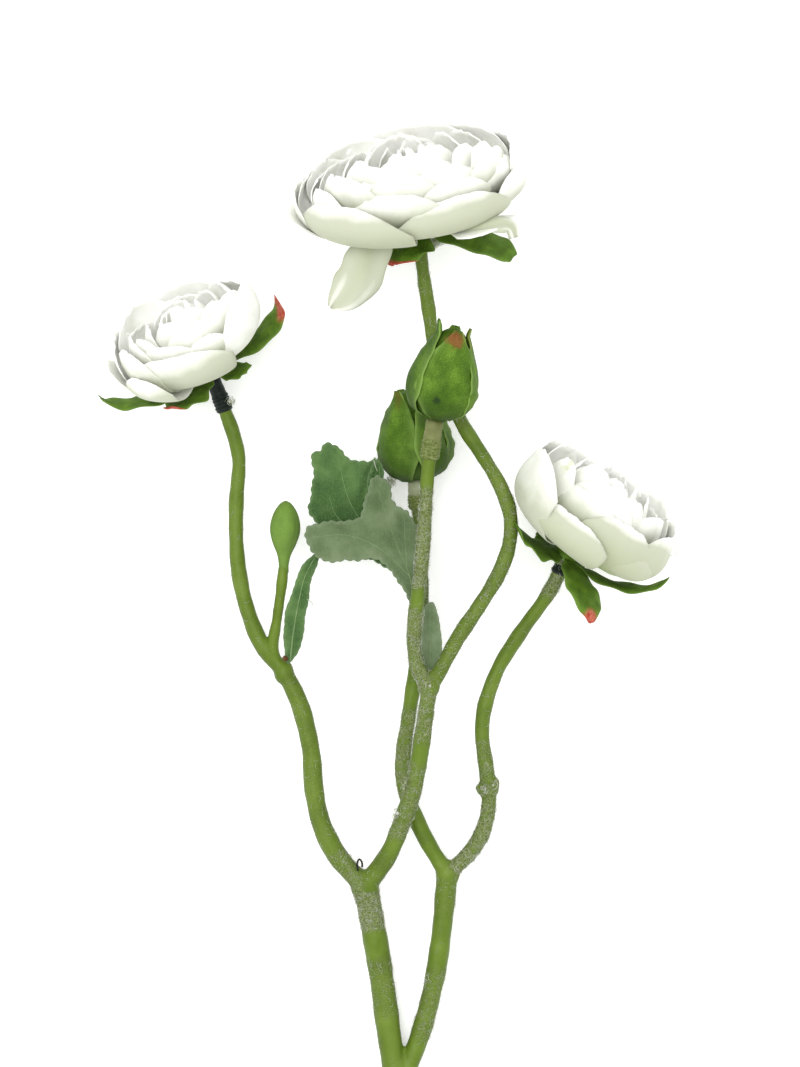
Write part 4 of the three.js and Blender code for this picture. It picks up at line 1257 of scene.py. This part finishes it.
def ring_tree():
    """A ring of petals round a bloom's axis, each turned, tipped and sized a little differently."""
    tree, given, result = growing_tree("petal_ring", Count="Int", Turn="Float", Wander="Float", Seed="Int")
    seed = given["Seed"]
    step = calc(tree, "DIVIDE", 2 * math.pi, given["Count"])
    even = calc(tree, "MULTIPLY_ADD", output(tree, "GeometryNodeInputIndex"), step, given["Turn"])
    strayed = calc(tree, "MULTIPLY_ADD", random_draw(tree, -0.5, 0.5, seed), given["Wander"], even)
    tip = random_draw(tree, -0.05, 0.05, seed)
    inputs = {
        "Points": output(tree, "GeometryNodePoints", {"Count": given["Count"]}),
        "Instance": given["Geometry"],
        "Rotation": output(tree, "ShaderNodeCombineXYZ", {0: tip, 1: strayed}),
        "Scale": random_draw(tree, (0.94, 0.94, 0.94), (1.05, 1.08, 1.05), seed),
    }
    finish_tree(tree, output(tree, "GeometryNodeInstanceOnPoints", inputs), given["Material"], result)
    return tree


def petal_rings(bloom, tree, cloth):
    """The rings of petals that fill the bloom, as one piece for each ring."""
    pose = pose_of(bloom) @ Matrix.Rotation(math.radians(bloom["ring_lean"]), 4, "X")
    pose = Matrix.Translation(pose.translation * MM) @ pose.to_3x3().to_4x4()
    made = []
    for ring, (count, reach, rim, inward) in enumerate(bloom["rings"]):
        draw = chance(bloom["seed"], 20 * (ring + 1))
        shells = Shells("root")
        add_petal(shells, inner_petal(reach, rim, inward, 0, (360 + RING_LAP) / count, draw, RING_TINT))
        petal = shells.piece("ring_petal")
        turn = math.radians(RING_SHIFT * ring + 60 * draw)
        grown = grow(petal, tree, "ring", cloth, Count=count, Turn=turn, Wander=RING_WANDER,
                     Seed=bloom["seed"] * 10 + ring)
        bpy.data.objects.remove(petal)
        grown.data.transform(pose)
        made.append(grown)
    return made


def bloom_core(bloom, cloth):
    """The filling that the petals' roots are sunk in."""
    radius, height = bloom["radius"], bloom["height"]
    outline = [
        (0, 0.4), (3.2, 0.6), (radius * 0.38, height * 0.14), (radius * 0.36, height * 0.28),
        (radius * 0.2, height * 0.5), (radius * 0.1, height * 0.66), (0, height * 0.7),
    ]
    points, faces = lathe_shell(outline, 28)
    shells = Shells("root")
    shells.add(moved(points, pose_of(bloom)), faces, points[:, :2], root=1)
    return shells.piece("bloom_core", cloth)


def strip_petal(name, strip, cloth):
    """A loose petal that follows its middle line, its edges bent away from the side that faces up."""
    path = smooth_path(strip["rib"], count=24)
    across = unit(np.cross(unit(np.gradient(path, axis=0)), (0, 0, 1)))
    side, rise = np.meshgrid(np.linspace(-1, 1, 17), np.linspace(0, 1, len(path)))
    half = strip["width"] / 2 * width_at(strip["outline"], rise) * (1 + 0.05 * np.sin(rise * 19) * side)
    grid = path[:, None] + across[:, None] * (side * half)[..., None]
    grid[..., 2] -= strip["fold"] * half * side**2 + 0.5 * np.sin(rise * 9 + side * 4)
    flat = np.stack([side * half, rise * 25], -1)
    shells = Shells("root")
    # Painted shade, greyer towards the petal's start and in soft bands like a satin sheen.
    root = both(0.34 - 0.2 * rise + 0.1 * np.sin(side * 5 + rise * 3))
    shells.add(*closed_sheet(grid, PETAL_THICKNESS), both(flat), root=root)
    return shells.piece(name, cloth)


def sepal_sheet(turn, reach, tip, width, red, broad):
    """A sepal's grid in its bloom's own frame, its map, and the shares of its painted root shade, edge and
    red tip.
    """
    middle = [SEPAL_START, (reach * 0.45, SEPAL_DIP), (reach * 0.97, mix(SEPAL_DIP, tip, 0.36)), (reach, tip)]
    side, rise = np.meshgrid(np.linspace(-1, 1, 17), np.linspace(0, 1, 33))
    spot = bezier(middle, rise)
    outline = [*SEPAL_OUTLINE, (mix(0.7, 0.96, broad), 0.7), (mix(0.36, 0.84, broad), 0.88), (0.7 * broad, 1)]
    half = width / 2 * width_at(outline, rise) * (1 + 0.07 * np.sin(rise * 16 + turn))
    aside = round_axis(side * half - SEPAL_BEND * math.sin(turn) * rise**3, 0, math.radians(turn + 90))
    grid = round_axis(spot[..., 0], spot[..., 1], math.radians(turn)) + aside
    twist = SEPAL_TWIST * max(math.sin(math.radians(turn)), 0) ** 4
    drop = SEPAL_FOLD * np.abs(side) * half - 0.45 * np.sin(rise * 19 + side * 2 + turn) * side**2
    grid[..., 1] += twist * rise * side * half - drop
    flat = np.stack([side * half, rise * reach], -1)
    redness = red * np.clip((rise - 0.78 - 0.06 * np.sin(side * 3 + turn)) * 9, 0, 1)
    # The root share is painted shade, deepest under the bloom.
    return grid, flat, np.clip(1 - rise * 2.4, 0, 1), np.abs(side) ** 6, redness


def make_calyx(name, bloom, cloth):
    shells = Shells("root", "edge", "tip")
    pose = pose_of(bloom)
    for sepal in bloom["sepals"]:
        grid, flat, root, edge, tip = sepal_sheet(*sepal)
        points, faces = closed_sheet(moved(grid, pose), SEPAL_THICKNESS, pressed=True)
        shells.add(points, faces, both(flat), root=both(root), edge=both(edge), tip=both(tip))
    points, faces = lathe_shell(SEPAL_SEAT, 24)
    # The seat under the bloom gets painted shade.
    shells.add(moved(points, pose), faces, points[:, :2], root=0.8)
    return shells.piece(name, cloth)


def make_blooms():
    cloth = petal_cloth()
    sepals = sepal_cloth()
    tree = ring_tree()
    loose = [
        strip_petal("loose_petal", HANGING_PETAL, cloth),
        strip_petal("folded_petal", FOLDED_PETAL, cloth),
    ]
    for side, bloom in BLOOMS.items():
        pieces = [laid_petals(f"{side}_bloom", bloom, cloth), bloom_core(bloom, cloth)]
        pieces += petal_rings(bloom, tree, cloth)
        if side == "top":
            pieces += loose
        kept(joined(pieces), "petal_fabric", f"{side}_bloom_petals")
    for side, bloom in BLOOMS.items():
        kept(make_calyx(f"{side}_sepals", bloom, sepals), "sepal_fabric", f"{side}_bloom_calyx")


# Buds


def add_bud_sepal(shells, bud, turn, spread, top, stand, red):
    """A sepal that lies against a bud, with a keel along it and crumpled edges that stand off a little."""
    side, rise = np.meshgrid(np.linspace(-1, 1, 25), np.linspace(0, 1, 37))
    height = 0.96 * top * rise
    radius = width_at(BUD_OUTLINE[1:-1], height) * BUD_RADIUS
    half = np.radians(spread) * width_at(BUD_SEPAL_OUTLINE, rise) * (1 + 0.03 * np.sin(rise * 15 + turn))
    half = np.minimum(half * mix(1, 1.7, rise**3), math.pi)
    flare = stand * (np.abs(side) ** 4 * np.sin(math.pi * rise) ** 0.5 + 0.8 * rise**8)
    crumple = 0.16 * np.sin(side * 7 + rise * 17 + turn) * (0.3 + side**2)
    crumple += 0.2 * np.sin(rise * 43 + side * 3 + turn) * side**8
    keel = 0.3 * np.exp(-((side / 0.14) ** 2)) * rise
    away = radius + 0.25 + flare + keel + crumple
    grid = round_axis(away, height * BUD_LENGTH, np.radians(turn) + side * half)
    flat = np.stack([side * half * radius, height * BUD_LENGTH], -1)
    redness = red * np.clip((rise - 0.82 + 0.08 * np.sin(side * 5)) * 8, 0, 1)
    points, faces = closed_sheet(moved(grid, pose_of(bud)), BUD_SEPAL_THICKNESS)
    # Painted shade on the sepals near the bud's base.
    foot_shade = np.clip(1 - rise / bud["foot_shade"], 0, 1)
    edge = np.abs(side) ** 8
    shells.add(points, faces, both(flat), root=both(foot_shade), edge=both(edge), tip=both(redness))


def make_bud(name, bud, skin):
    """A closed bud with its sepals laid round it."""
    shells = Shells("root", "edge", "tip")
    points, faces = pod_shell(BUD_OUTLINE, BUD_RADIUS - 0.5, BUD_LENGTH, 40)
    # The pod shows between the sepals in painted shade, deepest at its base.
    foot_shade = np.clip(1 - points[:, 1] / BUD_LENGTH / bud["foot_shade"], 0, 1)
    shells.add(moved(points, pose_of(bud)), faces, points[:, :2], root=np.maximum(foot_shade, 0.35))
    for sepal in bud["sepals"]:
        add_bud_sepal(shells, bud, *sepal)
    return shells.piece(name, skin)


def make_small_bud(name, skin):
    """The small bud: a smooth pod with faint lengthwise ridges that narrows into its stalk."""
    points, faces = pod_shell(SMALL_BUD_OUTLINE, SMALL_BUD_RADIUS, SMALL_BUD_LENGTH, 48)
    rise = points[:, 1] / SMALL_BUD_LENGTH
    crease = np.abs(np.sin(2.5 * np.arctan2(points[:, 0], points[:, 2]) + 0.8)) ** 0.5
    swell = 1 + 0.07 * (crease - 0.8) * np.clip(rise * 1.4, 0, 1)
    points = points * np.stack([swell, np.ones_like(swell), swell], -1)
    shells = Shells("root", "edge", "tip")
    # Painted shade towards the stalk.
    shells.add(moved(points, pose_of(SMALL_BUD)), faces, points[:, :2], root=np.clip(0.5 - rise, 0, 1),
               edge=np.clip(1 - 3 * crease, 0, 1) + 0.6, tip=np.clip(rise - 0.97, 0, 1) * 10)
    return shells.piece(name, skin)


def make_buds():
    skin = bud_skin()
    kept(make_bud("front_bud_closed", FRONT_BUD, skin), "bud_plastic", "front_bud")
    kept(make_bud("rear_bud_closed", REAR_BUD, skin), "bud_plastic", "rear_bud")
    kept(make_small_bud("small_bud_closed", skin), "bud_plastic", "small_bud")


# Leaves


def toothed(outline, tooth, seed):
    """A closed outline resampled finely, with small teeth that stand out from it."""
    around = smooth_path([*outline, outline[0]], step=LEAF_RIM_STEP)[:-1]
    onward = np.roll(around, -1, axis=0)
    along = onward - np.roll(around, 1, axis=0)
    out = unit(np.stack([along[:, 1], -along[:, 0]], -1))
    area = np.sum(around[:, 0] * onward[:, 1] - onward[:, 0] * around[:, 1])
    run = np.arange(len(around)) * LEAF_RIM_STEP
    row = np.abs(np.sin(run * math.pi / TOOTH_PITCH + seed))
    teeth = tooth * (row - 0.4 + 0.4 * np.sin(run * 0.9 + seed))
    around[:, :2] += out * np.sign(area) * teeth[:, None]
    return around[:, :2]


def inside(outline, spots):
    """Which spots lie inside a closed outline."""
    x, y = spots[:, :1], spots[:, 1:2]
    x0, y0 = outline[:, 0], outline[:, 1]
    x1, y1 = np.roll(x0, -1), np.roll(y0, -1)
    crosses = (y0 > y) != (y1 > y)
    meets = x0 + (y - y0) * (x1 - x0) / np.where(y1 == y0, 1e-9, y1 - y0)
    return np.sum(crosses & (x < meets), axis=1) % 2 == 1


def gap_to_lines(lines, spots):
    return gap_to(np.vstack([smooth_path(line, step=0.3) for line in lines]), spots)


def leaf_height(outline, spots, veins):
    """The height of a blade at some spots: eased between its outline's points, and sunk along its veins."""
    points = np.array(outline, float)
    weight = 1 / (((spots[:, None] - points[None, :, :2]) ** 2).sum(-1) + 4) ** 1.5
    base = (weight * points[:, 2]).sum(1) / weight.sum(1)
    sink = VEIN_SINK * np.exp(-((gap_to_lines(veins, spots) / VEIN_SPREAD) ** 2))
    sway = 0.35 * np.sin(spots[:, 0] * 0.55 + spots[:, 1] * 0.3) * np.sin(spots[:, 1] * 0.42)
    return base - sink + sway


def boundary(faces):
    """The edges that only one face has, in the direction in which that face runs."""
    runs = {(face[k], face[(k + 1) % len(face)]) for face in faces for k in range(len(face))}
    return [(a, b) for a, b in runs if (b, a) not in runs]


def blade_spots(rim):
    """Spots on and inside a rim, and the faces between them."""
    low, high = rim.min(0), rim.max(0)
    columns, rows = np.meshgrid(*(np.arange(low[axis], high[axis], LEAF_GRID) for axis in range(2)))
    columns[1::2] += LEAF_GRID / 2
    spots = np.stack([columns.ravel(), rows.ravel()], -1)
    spots = spots[inside(rim, spots)]
    spots = np.vstack([rim, spots[gap_to(rim, spots) > LEAF_GRID / 2]])
    edges = [(k, (k + 1) % len(rim)) for k in range(len(rim))]
    points, _, faces, *_ = delaunay_2d_cdt([Vector(spot) for spot in spots], edges, [], 1, 1e-6)
    return np.array([tuple(point) for point in points]), [tuple(face) for face in faces]


def add_blade(shells, outline, veins, tooth, seed, skins, shading):
    """A thin closed leaf blade inside a toothed outline, with how shaded its colour is at each spot."""
    rim = toothed(outline, tooth, seed)
    spots, top = blade_spots(rim)
    height = leaf_height(outline, spots, veins)
    edge_gap = gap_to(rim, spots)
    half = LEAF_THICKNESS / 2 * np.clip(0.4 + edge_gap, 0, 1)
    points = np.vstack([np.column_stack([spots, height + half]), np.column_stack([spots, height - half])])
    count = len(spots)
    under = [tuple(corner + count for corner in reversed(face)) for face in top]
    walls = [(b, a, a + count, b + count) for a, b in boundary(top)]
    kinds = np.repeat([skins[0], skins[1], skins[1]], [len(top), len(under), len(walls)])
    edge = np.tile(np.exp(-edge_gap / 0.35), 2)
    shells.add(points, [*top, *under, *walls], None, kinds, edge=edge, shaded=np.tile(shading(spots), 2))


def unshaded(spots):
    return np.zeros(len(spots))


def far_blade_shading(spots):
    """Deeper towards the far blade's lower edge and along its crease."""
    crease = np.exp(-((gap_to_lines([FAR_BLADE_CREASE], spots) / 1.2) ** 2))
    return np.maximum(0.8 * crease, np.clip((61 - spots[:, 1]) / 14, 0, 1))


def fold_shading(spots):
    return np.full(len(spots), 0.9)


def small_leaf_shading(spots):
    """Deeper on the right of its midrib."""
    return np.where(spots[:, 0] + 27.4 - 0.2 * (spots[:, 1] - 17) > 0, 0.45, 0.1)


def vein_tree():
    """Thin raised veins along curves, tapered towards their ends."""
    tree, given, result = growing_tree("leaf_veins", Thickness="Float")
    along = output(tree, "GeometryNodeSplineParameter", out="Factor")
    taper = calc(tree, "MULTIPLY_ADD", along, -0.65, 1.0)
    tubes = swept(tree, given["Geometry"], 6, given["Thickness"], taper)
    finish_tree(tree, tubes, given["Material"], result)
    return tree


def make_veins(outline, veins, tree, material, thickness):
    """The raised veins of a blade, on its upper face."""
    lines = bpy.data.curves.new("vein_lines", "CURVE")
    lines.dimensions = "3D"
    for vein in veins:
        spots = smooth_path(vein, step=0.8)
        height = leaf_height(outline, spots, veins) + LEAF_THICKNESS / 2
        spline = lines.splines.new("POLY")
        spline.points.add(len(spots) - 1)
        for point, (x, y), z in zip(spline.points, spots, height):
            point.co = (x * MM, y * MM, z * MM, 1)
    guide = placed("vein_lines", lines)
    grown = grow(guide, tree, "veins", material, Thickness=thickness * MM)
    bpy.data.objects.remove(guide)
    return grown


def make_leaf(name, blades, cloths, tree, vein):
    """A leaf of blades: outline, veins and their thickness, teeth, which sides face up and down, shading."""
    shells = Shells("edge", "shaded")
    for seed, (outline, veins, _, tooth, skins, shading) in enumerate(blades):
        add_blade(shells, outline, veins, tooth, seed, skins, shading)
    leaf = shells.piece(name, *cloths)
    ribs = [make_veins(outline, veins, tree, vein, thickness) for outline, veins, thickness, *_ in blades]
    return joined([leaf, *ribs])


def make_leaves():
    upper = leaf_cloth("leaf_upper_side", (58, 96, 40), (84, 122, 58), (110, 146, 78), (126, 156, 104))
    under = leaf_cloth("leaf_under_side", (86, 108, 66), (98, 121, 77), (122, 142, 102), (140, 158, 124))
    # The middle leaf's face is a paler copy of the underside: painted light against the branch's shade on it.
    pale = leaf_cloth("leaf_under_side_lit", (106, 130, 86), (122, 146, 102), (148, 168, 130), (168, 184, 150))
    tree = vein_tree()
    vein = vein_cloth()
    near = (LARGE_LEAF_NEAR_BLADE, NEAR_BLADE_VEINS, 0.1, 0.5, (1, 0), unshaded)
    far = (LARGE_LEAF_FAR_BLADE, FAR_BLADE_VEINS, 0.12, 0.4, (0, 1), far_blade_shading)
    fold = (LARGE_LEAF_FOLD, FOLD_VEINS, 0.1, 0.15, (0, 1), fold_shading)
    small = (SMALL_LEAF_BLADE, SMALL_LEAF_VEINS, 0.22, 0.15, (0, 1), small_leaf_shading)
    middle = (MIDDLE_LEAF_BLADE, MIDDLE_LEAF_VEINS, 0.12, 0.1, (1, 0), unshaded)
    for name, node_name, blades, below in (
        ("large_leaf_blades", "large_leaf", [near, far, fold], under),
        ("small_leaf_blade", "small_leaf", [small], under),
        ("middle_leaf_blade", "middle_leaf", [middle], pale),
    ):
        kept(make_leaf(name, blades, (upper, below), tree, vein), "leaf_fabric", node_name)


# Stage


def make_floor():
    mesh = bpy.data.meshes.new("floor")
    corners = [(x * FLOOR_REACH, y * FLOOR_REACH, 0) for x, y in ((-1, -1), (1, -1), (1, 1), (-1, 1))]
    mesh.from_pydata(corners, [], [(0, 1, 2, 3)])
    mesh.materials.append(floor_paper())
    placed("floor", mesh)


def light_studio():
    """An even white world and one large soft disk that shines down on the spray."""
    world = bpy.data.worlds.new("studio")
    world.use_nodes = True
    sky = world.node_tree.nodes["Background"].inputs
    sky["Color"].default_value = (1, 1, 1, 1)
    sky["Strength"].default_value = SKY_STRENGTH
    bpy.context.scene.world = world
    lamp = bpy.data.lights.new("key", "AREA")
    lamp.shape = "DISK"
    lamp.size = KEY_SIZE
    lamp.energy = KEY_POWER
    holder = placed("key", lamp)
    holder.location = KEY_AT
    holder.rotation_euler = (Vector(KEY_AIM) - Vector(KEY_AT)).to_track_quat("-Z", "Y").to_euler()
    bpy.context.scene.view_settings.view_transform = "Standard"


def place_camera():
    lens = bpy.data.cameras.new("camera")
    lens.lens = CAMERA_LENS
    lens.sensor_width = 36
    lens.clip_end = 20
    camera = placed("camera", lens)
    camera.location = Vector(CAMERA_AT) * MM
    bpy.context.scene.camera = camera


# The spray


def make_spray():
    stem = make_stem()
    fibres = fibres_on(stem, "glue_fibres_on_stem", density=2.2e6, length=1.15, thickness=0.04, seed=7)
    kept(stem, "stem_plastic", "stem")
    kept(fibres, "stem_plastic")
    make_fittings()
    make_leaves()
    make_buds()
    make_blooms()


place_camera()
light_studio()
make_floor()
make_spray()
